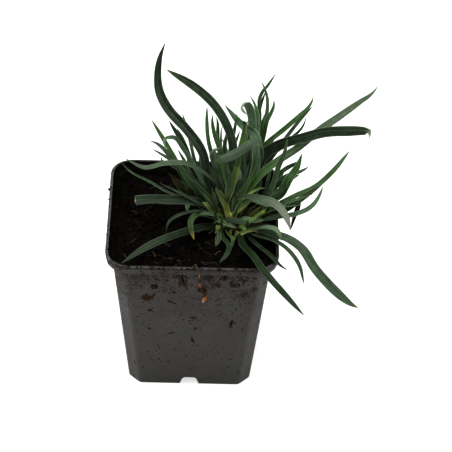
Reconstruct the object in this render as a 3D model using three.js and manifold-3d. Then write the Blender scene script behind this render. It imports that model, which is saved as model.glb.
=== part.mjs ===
// A young dianthus in its square nursery pot.
// Millimetres, +Z up. The origin is the middle of the pot's flat foot, the plant's front faces -Y.
// The pot, the potting soil, the rooted crown with its shoots, one loose root and every leaf are
// separate solids. Leaves start 0.3 mm off the shoot that bears them.
import * as THREE from "three";
import { mergeVertices } from "three/addons/utils/BufferGeometryUtils.js";
import Module from "manifold-3d";

const wasm = await Module();
wasm.setup();

// ---- driving dimensions ----
const GAP = 0.3; // free space between neighbouring solids

const POT_HEIGHT = 93;
const RIM_HALF = 45; // half of the 90 mm square rim
const RIM_THICK = 1.6;
const LIP_HEIGHT = 4.5; // the turned-out band under the rim
const LIP_DRAFT = 0.6; // how much narrower the band is at its lower edge
const BODY_TOP_HALF = 41.2; // half of the body just under the band
const FOOT_HALF = 33;
const WALL = 1.2;
const FLOOR = 1.8;
const CORNER_RADIUS = 12; // rounded corners of the rim
const CORNER_FACET = 6.2; // flat facets down the body's four corners
const CORNER_POINTS = 6; // outline points round each corner

const NOTCH_WIDTH = 11; // drain notch at the middle of each foot edge
const NOTCH_TOP_WIDTH = 7;
const NOTCH_HEIGHT = 5;
const NOTCH_DEPTH = 12;
const DRAIN_RADIUS = 3;
const DRAIN_OFFSET = 15; // drain holes sit on the floor's diagonals

const SOIL_TOP = 84;
const SOIL_SWELL = 0.8; // gentle humps in the soil's surface

const CROWN = [22, 1]; // where the plant stands in the pot
const CROWN_TOP = 87;
const SHOOT_RING = 4.5; // the shoots leave the crown on this circle
const SHOOT_RADIUS = 1.3;
const SHOOT_TAPER = 0.7; // a shoot's girth at its tip, as a share of that at its foot
const SHOOT_BOW = 1.2; // how far a shoot bows upwards on its way out
const LEAF_ZONE = [0.55, 0.93]; // the stretch of a shoot that bears leaves

const LEAF_THICK = 0.8;
const LEAF_STEP = 4.2; // distance between two rings of a leaf
const LEAF_CHANNEL = 0.16; // depth of the leaf's channel, as a share of its width
const NARROW_LEAF = 2.5; // a leaf under this width is thinner too
const LEAF_STEM = [1.2, 1.6]; // out from and up along its shoot, where a leaf turns away

const ROOT_RADIUS = 0.45;

const POT_GREY = 0x3f3e3c;
const SOIL_BROWN = 0x1c1712;
const SHOOT_GREEN = 0x8e9a54;
const LEAF_GREEN = 0x4f6d55;
const DRY_BROWN = 0x4a3c3a;
const ROOT_ORANGE = 0xb5793a;

// ---- small helpers ----
const V = (p) => new THREE.Vector3(...p);
const UP = V([0, 0, 1]);
const radians = THREE.MathUtils.degToRad;
const lerp = THREE.MathUtils.lerp;

// A closed three.js geometry as a manifold solid.
function solid(geometry) {
  const bare = geometry.clone();
  bare.deleteAttribute("normal");
  bare.deleteAttribute("uv");
  const merged = mergeVertices(bare, 1e-4);
  const mesh = new wasm.Mesh({
    numProp: 3,
    vertProperties: Float32Array.from(merged.attributes.position.array),
    triVerts: Uint32Array.from(merged.index.array),
  });
  return new wasm.Manifold(mesh);
}

// A manifold solid as a three.js geometry with flat shading.
function geometryOf(body) {
  const mesh = body.getMesh();
  const geometry = new THREE.BufferGeometry();
  geometry.setAttribute("position", new THREE.BufferAttribute(Float32Array.from(mesh.vertProperties), 3));
  geometry.setIndex(new THREE.BufferAttribute(Uint32Array.from(mesh.triVerts), 1));
  const flat = geometry.toNonIndexed();
  flat.computeVertexNormals();
  return flat;
}

// Moves every vertex of a geometry by a rule.
function reshape(geometry, rule) {
  const position = geometry.attributes.position;
  const point = new THREE.Vector3();
  for (let i = 0; i < position.count; i++) {
    rule(point.fromBufferAttribute(position, i));
    position.setXYZ(i, point.x, point.y, point.z);
  }
  return geometry;
}

// ---- the square, facet-cornered turning ----

// One point of a square outline. step counts round it, CORNER_POINTS to a corner.
// facet is 0 for rounded corners and 1 for flat facets.
function squarePoint(step, half, facet) {
  const corner = Math.floor(step / CORNER_POINTS) % 4;
  const along = (step % CORNER_POINTS) / (CORNER_POINTS - 1);
  const turn = radians(along * 90);
  const radius = Math.min(CORNER_RADIUS, half * 0.5);
  const round = new THREE.Vector2(half - radius, half - radius).add(
    new THREE.Vector2(Math.cos(turn), Math.sin(turn)).multiplyScalar(radius),
  );
  const cut = Math.min(CORNER_FACET, half * 0.5);
  const flat = new THREE.Vector2(half - cut * along, half - cut * (1 - along));
  return round.lerp(flat, facet).rotateAround(new THREE.Vector2(), radians(90 * corner));
}

// Turns a profile of [half width, height, facet] points round the pot's axis as a square.
function squareTurning(profile) {
  const sides = 4 * CORNER_POINTS;
  const points = profile.map((p, i) => new THREE.Vector2(p[0] > 0 ? 1 : 0, i));
  const blank = new THREE.LatheGeometry(points, sides);
  return reshape(blank, (p) => {
    const [half, height, facet] = profile[Math.round(p.y)];
    const step = (Math.round((Math.atan2(p.x, p.z) / (2 * Math.PI)) * sides) + sides) % sides;
    const outline = half > 0 ? squarePoint(step, half, facet) : new THREE.Vector2();
    p.set(outline.x, outline.y, height);
  });
}

// Half width of the body's outside at a height.
function bodyHalf(height) {
  return lerp(FOOT_HALF, BODY_TOP_HALF, height / (POT_HEIGHT - LIP_HEIGHT));
}

// ---- pot ----
function potSolid() {
  const ledge = POT_HEIGHT - LIP_HEIGHT;
  const profile = [
    [0, 0, 1],
    [FOOT_HALF, 0, 1],
    [BODY_TOP_HALF, ledge, 1],
    [RIM_HALF - LIP_DRAFT, ledge, 0],
    [RIM_HALF, POT_HEIGHT, 0],
    [RIM_HALF - RIM_THICK, POT_HEIGHT, 0],
    [RIM_HALF - RIM_THICK - LIP_DRAFT, ledge + WALL, 0],
    [BODY_TOP_HALF - WALL, ledge + WALL / 2, 1],
    [bodyHalf(FLOOR) - WALL, FLOOR, 1],
    [0, FLOOR, 1],
  ];
  let pot = solid(squareTurning(profile));
  for (let quarter = 0; quarter < 4; quarter++) {
    const turned = (g) => solid(g.rotateZ(radians(90 * quarter)));
    const hump = notchPrism(WALL, FLOOR, NOTCH_DEPTH + WALL, 0.6);
    pot = pot.add(turned(hump)).subtract(turned(notchPrism(0, 0, NOTCH_DEPTH, -3)));
    const hole = new THREE.CylinderGeometry(DRAIN_RADIUS, DRAIN_RADIUS, 3 * FLOOR, 12)
      .rotateX(radians(90))
      .translate(DRAIN_OFFSET, DRAIN_OFFSET, 0);
    pot = pot.subtract(turned(hole));
  }
  return pot;
}

// The arched tunnel of a drain notch, grown by a margin, from inside the pot to the foot's front edge.
// proud is how far its mouth stays behind the wall's outer face.
function notchPrism(margin, base, depth, proud) {
  const foot = NOTCH_WIDTH / 2 + margin;
  const crest = NOTCH_TOP_WIDTH / 2 + margin;
  const arch = new THREE.Shape([
    new THREE.Vector2(-foot, base > 0 ? base / 2 : -1),
    new THREE.Vector2(foot, base > 0 ? base / 2 : -1),
    new THREE.Vector2(crest, NOTCH_HEIGHT + margin),
    new THREE.Vector2(-crest, NOTCH_HEIGHT + margin),
  ]);
  const length = depth - proud;
  return new THREE.ExtrudeGeometry(arch, { depth: length, bevelEnabled: false })
    .rotateX(radians(90))
    .translate(0, -FOOT_HALF + depth, 0);
}

// ---- soil ----

// Height of the soil's surface: gentle humps, a little higher round the crown.
function soilHeight(x, y) {
  const ripple = Math.sin(x * 0.16 + 1) * Math.cos(y * 0.13) + 0.6 * Math.sin(x * 0.31 - y * 0.24);
  const mound = Math.exp(-((x - CROWN[0]) ** 2 + (y - CROWN[1]) ** 2) / 300);
  return SOIL_TOP + SOIL_SWELL * ripple + mound;
}

function soilSolid() {
  const under = FLOOR + GAP;
  const side = (height) => bodyHalf(height) - WALL - GAP * 1.4;
  const top = SOIL_TOP - 1;
  const rings = [0.86, 0.68, 0.5, 0.32, 0.15].map((share) => [share * side(top), SOIL_TOP, 1]);
  const profile = [[0, under, 1], [side(under), under, 1], [side(top), top, 1], ...rings, [0, SOIL_TOP, 1]];
  const blank = reshape(squareTurning(profile), (p) => {
    if (p.z === SOIL_TOP) p.z = soilHeight(p.x, p.y);
  });
  let soil = solid(blank).subtract(solid(crownBlank(GAP)));
  for (let quarter = 0; quarter < 4; quarter++) {
    const hump = notchPrism(WALL + GAP * 2, FLOOR, NOTCH_DEPTH + WALL + GAP * 2, -3);
    soil = soil.subtract(solid(hump.rotateZ(radians(90 * quarter))));
  }
  return soil;
}

// ---- bent blanks: one straight spindle, flattened and bent along a curve ----

// Frames along a curve that never spin on their own, each turned by some degrees. A blunt end has
// its last two frames in one place.
function framesAlong(curve, count, { facing, turned = 0, blunt = false }) {
  const frames = [];
  const normal = facing.clone();
  for (let i = 0; i <= count; i++) {
    const at = blunt ? Math.min(1, i / (count - 1)) : i / count;
    const tangent = curve.getTangentAt(at);
    normal.addScaledVector(tangent, -normal.dot(tangent)).normalize();
    const side = new THREE.Vector3().crossVectors(tangent, normal);
    const front = side.y > 0 ? -1 : 1; // turns the upper face towards the plant's front
    const angle = radians(turned) * front;
    const face = normal.clone().multiplyScalar(Math.cos(angle)).addScaledVector(side, Math.sin(angle));
    frames.push({ origin: curve.getPointAt(at), side: tangent.clone().cross(face), face });
  }
  return frames;
}

// Lays a spindle along a curve. radiusAt gives the half width and half thickness at 0..1, and
// channel lifts the two edges and lowers the middle by a share of the width.
function alongCurve(curve, { rings, sides, radiusAt, channel = 0, ...framing }) {
  const profile = Array.from({ length: rings + 1 }, (_, i) => new THREE.Vector2(i % rings ? 1 : 0, i));
  const frames = framesAlong(curve, rings, framing);
  return reshape(new THREE.LatheGeometry(profile, sides), (p) => {
    const ring = Math.round(p.y);
    const [half, thick] = radiusAt(ring / rings);
    const { origin, side, face } = frames[ring];
    const lift = ring % rings ? channel * half * 2 * (Math.abs(p.x) - 0.5) : 0;
    const across = p.x * half;
    const rise = p.z * thick + lift;
    p.copy(origin).addScaledVector(side, across).addScaledVector(face, rise);
  });
}

// ---- crown and shoots ----

// The woody crown with its tapering tap root, standing in the soil.
function crownBlank(grow) {
  const profile = [
    [0, 34],
    [1.2, 36],
    [2.2, 52],
    [3.6, 66],
    [5.6, 78],
    [6.6, 84],
    [5.4, CROWN_TOP],
    [0, CROWN_TOP + 0.8],
  ].map(([radius, height], i, all) => {
    const end = i === 0 ? -grow : grow;
    return new THREE.Vector2(radius ? radius + grow : 0, height + (i === 0 || i > all.length - 3 ? end : 0));
  });
  return new THREE.LatheGeometry(profile, 12).rotateX(radians(90)).translate(...CROWN, 0);
}

// The axis of a shoot, from inside the crown to its growing tip.
function shootAxis({ around, top }) {
  const angle = radians(around);
  const ring = V([CROWN[0] + SHOOT_RING * Math.cos(angle), CROWN[1] + SHOOT_RING * Math.sin(angle), 0]);
  const foot = ring.clone().setZ(CROWN_TOP - 2);
  const tip = V(top);
  const middle = foot.clone().lerp(tip, 0.4).addScaledVector(UP, SHOOT_BOW);
  return new THREE.CatmullRomCurve3([foot, middle, tip]);
}

const shootGirth = (t) => SHOOT_RADIUS * lerp(1, SHOOT_TAPER, t);

function shootSolid(shoot) {
  const radiusAt = (t) => [shootGirth(t), shootGirth(t)];
  return solid(alongCurve(shootAxis(shoot), { rings: 7, sides: 8, facing: V([1, 0.2, 0]), radiusAt }));
}

// ---- leaves ----

// Share of a leaf's full width at 0 (base) to 1 (tip).
function leafOutline(t, cut) {
  const base = lerp(0.3, 1, Math.min(1, t / 0.35) ** 0.8);
  const tip = cut ? 1 : Math.sqrt(Math.min(1, (1 - t) / 0.45));
  return base * tip;
}

// The line of a leaf: it leaves its shoot at a node, a share of the way up, and then follows its midrib.
function leafLine(shoot, share, midrib) {
  const axis = shootAxis(shoot);
  const node = axis.getPointAt(share);
  const along = axis.getTangentAt(share);
  const outward = V(midrib[0]).sub(node);
  outward.addScaledVector(along, -outward.dot(along)).normalize();
  const start = node.clone().addScaledVector(outward, shootGirth(share) + 1.8 * GAP);
  const points = midrib.map(V);
  const [out, up] = LEAF_STEM;
  const leave = start.clone().addScaledVector(outward, out).addScaledVector(along, up);
  const near = points[0].distanceTo(start) < 3 * (out + up);
  return near ? [start, ...points] : [start, leave, ...points];
}

function leafBlank(points, { width, turn, curl, cut }) {
  const curve = new THREE.CatmullRomCurve3(points, false, "centripetal");
  const rings = Math.max(6, Math.round(curve.getLength() / (curl ? LEAF_STEP / 2 : LEAF_STEP)));
  const thick = (LEAF_THICK / 2) * (width < NARROW_LEAF ? 0.8 : 1);
  const radiusAt = (t) => {
    const share = leafOutline(t, cut);
    return [(width / 2) * share, thick * Math.sqrt(share)];
  };
  const channel = LEAF_CHANNEL;
  return alongCurve(curve, { rings, sides: 4, radiusAt, channel, facing: UP, turned: turn, blunt: cut });
}

// Leaves push each other aside: one that meets another leans a little back or forth, or leaves its
// shoot a little higher or lower, until it is clear.
const ASIDE = V([0, 0.77, -0.64]);
const SIDEWAYS = V([1, 0, 0.3]).normalize();
const MOST_ROOM = 9;
const NODE_SHIFTS = [0, -0.06, 0.06, -0.12, -0.18, -0.24];
const STIFF_BASE = 7; // a leaf's first few millimetres hardly give

function* leanings() {
  yield new THREE.Vector3();
  for (let room = 0.5; room <= MOST_ROOM; room += 0.5) {
    for (const sign of [1, -1]) yield ASIDE.clone().multiplyScalar(sign * room);
    if (room > 3) for (const sign of [1, -1]) yield SIDEWAYS.clone().multiplyScalar((sign * room) / 3);
  }
}

function leafSolid(shoot, index, placed) {
  const leaf = shoot.leaves[index];
  const share = lerp(...LEAF_ZONE, (index + 0.5) / shoot.leaves.length);
  for (const lean of leanings()) {
    for (const shift of NODE_SHIFTS) {
      const points = leafLine(shoot, Math.min(0.97, share + shift), leaf.midrib);
      const leaned = points.map((p) => {
        const give = 1 - Math.exp(-p.distanceTo(points[0]) / STIFF_BASE);
        return p.clone().addScaledVector(lean, give);
      });
      const body = solid(leafBlank(leaned, leaf));
      if (placed.every((other) => body.minGap(other, GAP) > GAP / 2)) return body;
    }
  }
  throw new Error(`leaf ${index + 1} of the shoot at ${shoot.top} finds no room`);
}

// A leaf of a given width; turn swings its upper face to the front, and its midrib runs tipwards.
const leaf = (width, turn, ...midrib) => ({ width, turn, midrib });
const cut = (one) => ({ ...one, cut: true });
const curled = (one) => ({ ...one, curl: true });
const dry = (one) => ({ ...one, colour: DRY_BROWN });

// The shoots, each with the direction in which it leaves the crown, its tip, and its leaves from the
// lowest up.
const SHOOTS = {
  // the leader, left of the middle, with the tall leaf and the long arching ones
  a: {
    around: 160,
    top: [17, 4, 99],
    leaves: [
      leaf(3.8, 12, [13, 5, 107], [5, 6, 116], [-5, 7, 121], [-15, 8, 120], [-26, 9, 116], [-37, 13, 119]),
      leaf(4.4, 14, [22, 0, 103], [29, -5.5, 109.6], [36, -10, 111.8], [42, -12.7, 111.2],
        [47.2, -15, 106.6], [50.2, -15.5, 99.5], [51.2, -15.5, 95.5]),
      leaf(4.6, 12, [28, 6, 104], [36, 9, 114], [43, 12, 119], [55, 19, 124], [65, 23, 132],
        [75, 26, 139], [86, 28, 148], [92, 29, 153], [95, 30, 158]),
      leaf(4.6, 10, [7, 8, 111], [4, 11, 125], [-4, 14, 137], [-14, 17, 148],
        [-19, 19, 158], [-20, 20, 168], [-19, 21, 178], [-16, 21, 188]),
      leaf(4.2, 5, [29, 9, 104], [32, 12, 112], [33, 16, 121], [32, 21, 129], [24, 28, 132], [15, 34, 140]),
      leaf(4.2, 5, [20, 8, 120], [20, 11, 131], [16, 15, 142], [9, 20, 151], [-1, 26, 157], [-16, 35, 161]),
      leaf(3.2, 10, [18, 4, 103], [22, 5, 109], [24, 6, 114], [24, 8, 118]),
    ],
  },
  // short shoot in the middle of the front
  b: {
    around: 255,
    top: [21, -3, 96],
    leaves: [
      leaf(2.8, 10, [27, -7, 96], [32, -11, 98], [37, -14, 101]),
      leaf(3.6, 5, [25, 0, 99], [29, 2, 102], [33, 6, 105], [36, 10, 109]),
    ],
  },
  // low shoot to the left, with the cut leaf
  c: {
    around: 190,
    top: [10, 2, 95],
    leaves: [
      curled(leaf(2.4, 0, [4, -3, 97], [-2, -5, 98], [-9, -9, 98], [-13, -11, 95], [-14, -13, 89])),
      curled(leaf(2.6, 0, [2, -6, 97], [-1, -10.6, 97], [-1, -14.7, 95.2], [0, -16.7, 92.2],
        [1, -18.7, 90.2])),
      leaf(2.2, 0, [1, 7, 96], [-13, 12, 97], [-23, 18, 99], [-34, 23, 102], [-39, 27, 105]),
      cut(leaf(5.2, 20, [3, 3, 98], [-4, 2, 100], [-13, 1, 101], [-23, 0, 102], [-31, -1, 101.5])),
    ],
  },
  // shoot to the front right, whose leaves hang over the rim
  d: {
    around: 300,
    top: [27, -11, 93],
    leaves: [
      leaf(1.9, 0, [33, -21, 91], [41, -36, 95], [45, -45, 97], [49, -50, 98]),
      leaf(3.8, 0, [26, -22, 91], [31, -34, 94], [36, -46, 95], [41, -54, 94], [47, -59, 90], [58, -62, 78]),
      leaf(2.2, 0, [34, -17, 93], [43, -26, 97], [50, -35, 98], [55, -41, 94], [58, -46, 85]),
      leaf(5, 5, [36, -14.5, 94.7], [43, -21.2, 97.4], [50, -27, 99], [57, -34, 98], [63, -41, 92],
        [73, -48, 84], [82, -52, 78], [86, -54, 77]),
      curled(leaf(3, 10, [33, -13.5, 95], [38, -17.4, 99.2], [43, -21.4, 101.2], [45, -24.4, 100.2],
        [46, -26.4, 97.2])),
    ],
  },
  // weak shoot at the front, low over the soil
  e: {
    around: 225,
    top: [13, -9, 91],
    leaves: [
      leaf(5, 12, [5, -10.5, 92.4], [-6, -17, 93.4], [-16, -24.3, 94.5], [-25, -30, 93.3],
        [-37, -38.3, 89.6]),
      leaf(2.2, 0, [15, -14, 90], [19, -22, 90], [18, -29, 90], [14, -34, 88]),
      leaf(1.6, 0, [14, -12, 91], [14, -17, 90], [12, -21, 88]),
      leaf(3, 12, [17, -9, 96], [24, -12, 98], [30, -16, 98]),
    ],
  },
  // shoot to the right
  f: {
    around: 340,
    top: [40, -2, 98],
    leaves: [
      leaf(2.6, 10, [47, -9, 100], [54, -10.8, 103.2], [61, -10.6, 107.6], [65, -9.6, 113.8],
        [67, -8, 120.4]),
      leaf(3.4, 10, [48.6, -6, 101.8], [54, -5, 106], [61, -3.4, 111.6], [67, -2.5, 116.5]),
      leaf(3.3, 8, [47, 0, 101.7], [54, 2, 105], [64, 5, 108.8], [73, 9, 116.4], [81.6, 14, 127]),
      leaf(3, 5, [42, 3, 112], [44, 5, 121], [47, 7, 130], [48, 10, 137]),
    ],
  },
  // shoot to the back right, with one old brown leaf
  g: {
    around: 20,
    top: [43, 7, 98],
    leaves: [
      dry(curled(leaf(3, 0, [47, 3, 98], [51, 0.5, 101], [54.6, -1, 103.2], [55.2, -3, 102.6],
        [53.6, -5, 97.6], [51.6, -6, 87.8]))),
      leaf(1.6, 0, [46, 11, 106], [51, 12, 108], [56, 14, 110]),
      leaf(4.8, 18, [46, 7, 102], [50, 8, 111], [54, 10, 117.5], [56.4, 12, 126]),
      leaf(1.5, 0, [48, 13, 109], [55, 14, 111], [61, 16, 114]),
      leaf(2, 0, [46, 15, 110], [51, 17, 113], [57, 18, 116]),
    ],
  },
  // shoot to the back left
  h: {
    around: 140,
    top: [1, 13, 98],
    leaves: [
      leaf(2, 0, [-8, 18, 108], [-14, 22, 115], [-19, 25, 119], [-24, 27, 120]),
      leaf(1.3, 0, [-7, 14, 112], [-14, 16, 117], [-23, 18, 122]),
      curled(leaf(2.8, 12, [-1, 16, 114], [-6, 17, 123], [-11, 16, 131], [-16, 14, 131], [-15, 12, 126])),
      leaf(2.6, 0, [-2, 13, 102], [-8, 17, 111], [-14, 20, 121], [-23, 23, 137]),
      leaf(2, 0, [-1, 16, 110], [-5, 19, 122], [-14, 23, 137]),
      leaf(1.2, 0, [0, 19, 114], [-3, 23, 126], [-7, 27, 139]),
    ],
  },
  // young upright shoot behind the leader
  i: {
    around: 110,
    top: [13, 19, 98],
    leaves: [
      leaf(1.6, 0, [11, 21, 109], [7, 24, 124], [6, 27, 135], [6, 29, 143]),
      curled(leaf(2.2, 0, [13, 19, 103], [10, 18, 113], [9, 16, 120], [11, 14, 125], [14, 13, 127])),
      leaf(1.5, 0, [14, 25, 110], [12, 27, 122], [12, 29, 130], [11, 30, 135]),
      leaf(1.5, 0, [15, 22, 113], [11, 25, 124], [9, 27, 133], [9, 28, 138]),
    ],
  },
  // shoot in the middle of the back, with the curled leaves
  j: {
    around: 85,
    top: [22, 21, 102],
    leaves: [
      leaf(1.9, 0, [16, 27, 110], [16, 29, 118], [17, 31, 125]),
      curled(leaf(4, 45, [28, 22, 118], [30, 25, 129], [29, 27, 141], [26, 26, 147],
        [24, 24, 145], [27, 21, 143])),
      curled(leaf(2.8, 10, [24, 19, 120], [26, 23, 129], [26, 25, 135], [24, 23, 137])),
      leaf(1.2, 0, [20, 26, 119], [21, 28, 130], [22, 30, 138]),
    ],
  },
  // strong shoot at the back right, with the broad dark leaf
  k: {
    around: 50,
    top: [33, 19, 101],
    leaves: [
      leaf(3, 5, [36, 21, 106], [42, 23, 115], [49, 26, 126], [55, 29, 134], [62, 31, 143]),
      curled(leaf(6.4, 26, [33, 20, 109], [37, 21, 118], [46, 20, 126], [57, 19, 131], [68, 19, 135],
        [80, 19, 136], [87, 18, 137], [91, 17, 137], [91, 16, 133])),
      curled(leaf(4.6, 12, [34.5, 16, 112], [35.5, 14, 124], [33, 11, 133], [29, 8, 134],
        [23, 6, 130], [17, 5, 127], [13, 5, 126], [11, 6, 130])),
      leaf(2.2, 0, [36, 25, 118], [47, 28, 129], [55, 31, 136], [60, 33, 141], [62, 34, 147]),
      leaf(1.6, 0, [39, 29, 118], [44, 31, 124], [48, 32, 129]),
    ],
  },
  // upright shoot behind it, with narrow leaves
  l: {
    around: 68,
    top: [31, 29, 106],
    leaves: [
      leaf(1.4, 0, [34, 33, 128], [34, 38, 143], [38, 40, 149], [42, 42, 155.5]),
      leaf(3, 0, [33, 29, 122], [33, 32, 134], [31, 34, 141], [28, 36, 145]),
      leaf(1.8, 0, [36, 28, 121], [38, 30, 133], [41, 31, 141], [41, 32, 146]),
      leaf(1.3, 0, [36, 32, 125], [38, 35, 138], [37, 37, 146], [34, 38, 153]),
      leaf(1.1, 0, [33, 31, 127], [34, 34, 138], [37, 37, 148]),
    ],
  },
};

// ---- loose root over the rim ----
function looseRootSolid() {
  const overRim = [[0, -37, 86], [1, -40, 91], [2, -44, 94.2], [3, -46.3, 92]];
  const downWall = [[4, -46.4, 88], [4, -46.4, 82], [5, -45.5, 76], [5, -44.5, 71]];
  const curve = new THREE.CatmullRomCurve3([...overRim, ...downWall].map(V));
  return solid(
    alongCurve(curve, { rings: 14, sides: 6, facing: UP, radiusAt: () => [ROOT_RADIUS, ROOT_RADIUS] }),
  );
}

// ---- assembly ----
const finish = (color, roughness) => new THREE.MeshStandardMaterial({ color, roughness, metalness: 0 });

function part(name, body, material) {
  const mesh = new THREE.Mesh(geometryOf(body), material);
  mesh.name = name;
  return mesh;
}

const plant = new THREE.Group();
const placed = [];

function place(name, body, colour, roughness) {
  placed.push(body);
  plant.add(part(name, body, finish(colour, roughness)));
}

place("pot", potSolid(), POT_GREY, 0.5);
place("potting_soil", soilSolid(), SOIL_BROWN, 0.95);
const shoots = Object.values(SHOOTS).map(shootSolid);
const grown = shoots.reduce((sum, shoot) => sum.add(shoot), solid(crownBlank(0)));
place("crown_with_shoots", grown, SHOOT_GREEN, 0.7);
place("loose_root", looseRootSolid(), ROOT_ORANGE, 0.8);
for (const [letter, shoot] of Object.entries(SHOOTS)) {
  shoot.leaves.forEach((leaf, index) => {
    const name = `leaf_${letter}${index + 1}`;
    place(name, leafSolid(shoot, index, placed), leaf.colour ?? LEAF_GREEN, 0.6);
  });
}

export default plant;
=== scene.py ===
# %% [markdown]
# # A young dianthus in its square nursery pot
# The real thing is a thin pressed plastic pot, peaty potting soil, and a young plant whose narrow
# blue-green leaves stand in tufts on a dozen short shoots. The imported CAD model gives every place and
# size. Each piece here is modelled in metres round it, and nothing is scaled to fit afterwards.

# %% Load the frame
import bisect
import math
import random

import bmesh
import bpy
from mathutils import Matrix, Vector, noise


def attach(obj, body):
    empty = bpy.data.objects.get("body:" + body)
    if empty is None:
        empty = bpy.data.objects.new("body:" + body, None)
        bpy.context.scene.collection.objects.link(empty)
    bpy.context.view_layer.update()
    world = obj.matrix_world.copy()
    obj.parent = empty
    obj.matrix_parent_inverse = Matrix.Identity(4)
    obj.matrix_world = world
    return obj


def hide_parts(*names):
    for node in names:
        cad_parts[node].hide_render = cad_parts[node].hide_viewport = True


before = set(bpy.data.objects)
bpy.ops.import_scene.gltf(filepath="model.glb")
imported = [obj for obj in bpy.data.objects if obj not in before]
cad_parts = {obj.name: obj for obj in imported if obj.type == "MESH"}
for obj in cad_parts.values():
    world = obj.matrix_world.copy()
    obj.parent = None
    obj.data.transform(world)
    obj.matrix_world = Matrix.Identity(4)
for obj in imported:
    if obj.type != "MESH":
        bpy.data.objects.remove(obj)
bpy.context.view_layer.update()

# %% [markdown]
# ## Camera
# A long lens some 1.1 m away looks down at about 40 degrees, so the square rim hardly narrows towards
# the back. The camera is rolled by two degrees, as a hand-held one often is.

# %% Camera
MM = 0.001
CAMERA_PLACE = Vector((-0.63, -830.2, 776.7)) * MM
CAMERA_HEIGHT, CAMERA_ROUND, CAMERA_ROLL = (math.radians(a) for a in (39.8, -1.26, 2.15))
LENS = 161.9

back = Vector(
    (
        math.sin(CAMERA_ROUND) * math.cos(CAMERA_HEIGHT),
        -math.cos(CAMERA_ROUND) * math.cos(CAMERA_HEIGHT),
        math.sin(CAMERA_HEIGHT),
    )
)
level = Vector((math.cos(CAMERA_ROUND), math.sin(CAMERA_ROUND), 0))
upright = back.cross(level)
right = math.cos(CAMERA_ROLL) * level + math.sin(CAMERA_ROLL) * upright
top = -math.sin(CAMERA_ROLL) * level + math.cos(CAMERA_ROLL) * upright
turned = Matrix((right, top, back)).transposed()

bpy.ops.object.camera_add(location=CAMERA_PLACE, rotation=turned.to_euler())
camera = bpy.context.object
camera.name = "camera"
camera.data.lens = LENS
camera.data.sensor_width = 36
camera.data.clip_start = 0.05
camera.data.clip_end = 20
bpy.context.scene.camera = camera
print("camera at", [round(v, 3) for v in camera.location])

# %% [markdown]
# ## Helpers for modelling
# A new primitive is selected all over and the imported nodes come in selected, so every step first
# clears the selection. Faces and edges are then picked by where they are.

# %% Helpers for modelling
def mode(name):
    """Switches the active piece to edit mode or object mode."""
    bpy.ops.object.mode_set(mode=name)


def clear():
    """Back to object mode with nothing selected."""
    if bpy.context.object and bpy.context.object.mode != "OBJECT":
        mode("OBJECT")
    bpy.ops.object.select_all(action="DESELECT")


def only(piece):
    """Selects one piece and makes it the active one."""
    clear()
    piece.select_set(True)
    bpy.context.view_layer.objects.active = piece
    return piece


def label(piece, name):
    """Names a piece and its mesh."""
    piece.name = name
    piece.data.name = name
    return piece


def named(name):
    """Names the newest primitive and puts its place and size into its mesh."""
    piece = label(bpy.context.object, name)
    bpy.ops.object.transform_apply(location=True, rotation=True, scale=True)
    return piece


def middle(element):
    """The middle of an edge or face."""
    corners = [v.co for v in element.verts]
    return sum(corners, Vector()) / len(corners)


def pick(kind, test):
    """In edit mode, selects only the vertices, edges or faces that pass a test."""
    bpy.ops.mesh.select_mode(type=kind)
    bpy.ops.mesh.select_all(action="DESELECT")
    mesh = bpy.context.edit_object.data
    shape = bmesh.from_edit_mesh(mesh)
    for element in {"VERT": shape.verts, "EDGE": shape.edges, "FACE": shape.faces}[kind]:
        if test(element):
            element.select_set(True)
    shape.select_flush_mode()
    bmesh.update_edit_mesh(mesh)


def pick_all():
    """In edit mode, selects everything."""
    bpy.ops.mesh.select_all(action="SELECT")


def modify(piece, kind, **settings):
    """Adds a modifier, sets it and applies it."""
    only(piece)
    modifier = piece.modifiers.new(kind.title(), kind)
    for key, value in settings.items():
        setattr(modifier, key, value)
    bpy.ops.object.modifier_apply(modifier=modifier.name)


def twin(piece, name):
    """A copy of a piece with a mesh of its own."""
    copy = piece.copy()
    copy.data = piece.data.copy()
    bpy.context.collection.objects.link(copy)
    return label(copy, name)


def joined(pieces, name):
    """Joins pieces into one."""
    clear()
    for piece in pieces:
        piece.select_set(True)
    bpy.context.view_layer.objects.active = pieces[0]
    bpy.ops.object.join()
    return label(pieces[0], name)


def smooth(piece, degrees=180):
    """Smooth shading, except across edges that turn by more than some degrees."""
    only(piece)
    if degrees >= 180:
        bpy.ops.object.shade_smooth()
    else:
        bpy.ops.object.shade_smooth_by_angle(angle=math.radians(degrees))


def belongs(piece, slot, material, *nodes):
    """Gives a finished piece its material, its body and the CAD nodes that it stands for. slot is not used.
    """
    piece.data.materials.clear()
    piece.data.materials.append(material)
    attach(piece, "root")
    if nodes:
        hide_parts(*nodes)


def shares(count):
    """0 to 1 in a number of equal steps."""
    return [i / count for i in range(count + 1)]


def chain_length(points):
    """Length of a chain of points."""
    return sum((b - a).length for a, b in zip(points, points[1:]))


# %% [markdown]
# ## Helpers for materials
# Colours are written as they look on a screen and turned into light values. One helper adds a node
# and fills its sockets, either with a plain value or with a wire from another node.

# %% Helpers for materials
def paint(code):
    """A six-figure screen colour as a light value."""
    parts = [int(code[i : i + 2], 16) / 255 for i in (0, 2, 4)]
    return (*[((p + 0.055) / 1.055) ** 2.4 if p > 0.04045 else p / 12.92 for p in parts], 1)


def add(tree, kind, settings=None, **sockets):
    """A new shader node. Sockets are named with _ for a space; a number such as _0 counts them."""
    made = tree.nodes.new("ShaderNode" + kind)
    for key, value in (settings or {}).items():
        setattr(made, key, value)
    for key, value in sockets.items():
        socket = made.inputs[int(key[1:])] if key[0] == "_" else made.inputs[key.replace("_", " ")]
        if isinstance(value, bpy.types.NodeSocket):
            tree.links.new(value, socket)
        else:
            socket.default_value = value
    return made


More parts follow.
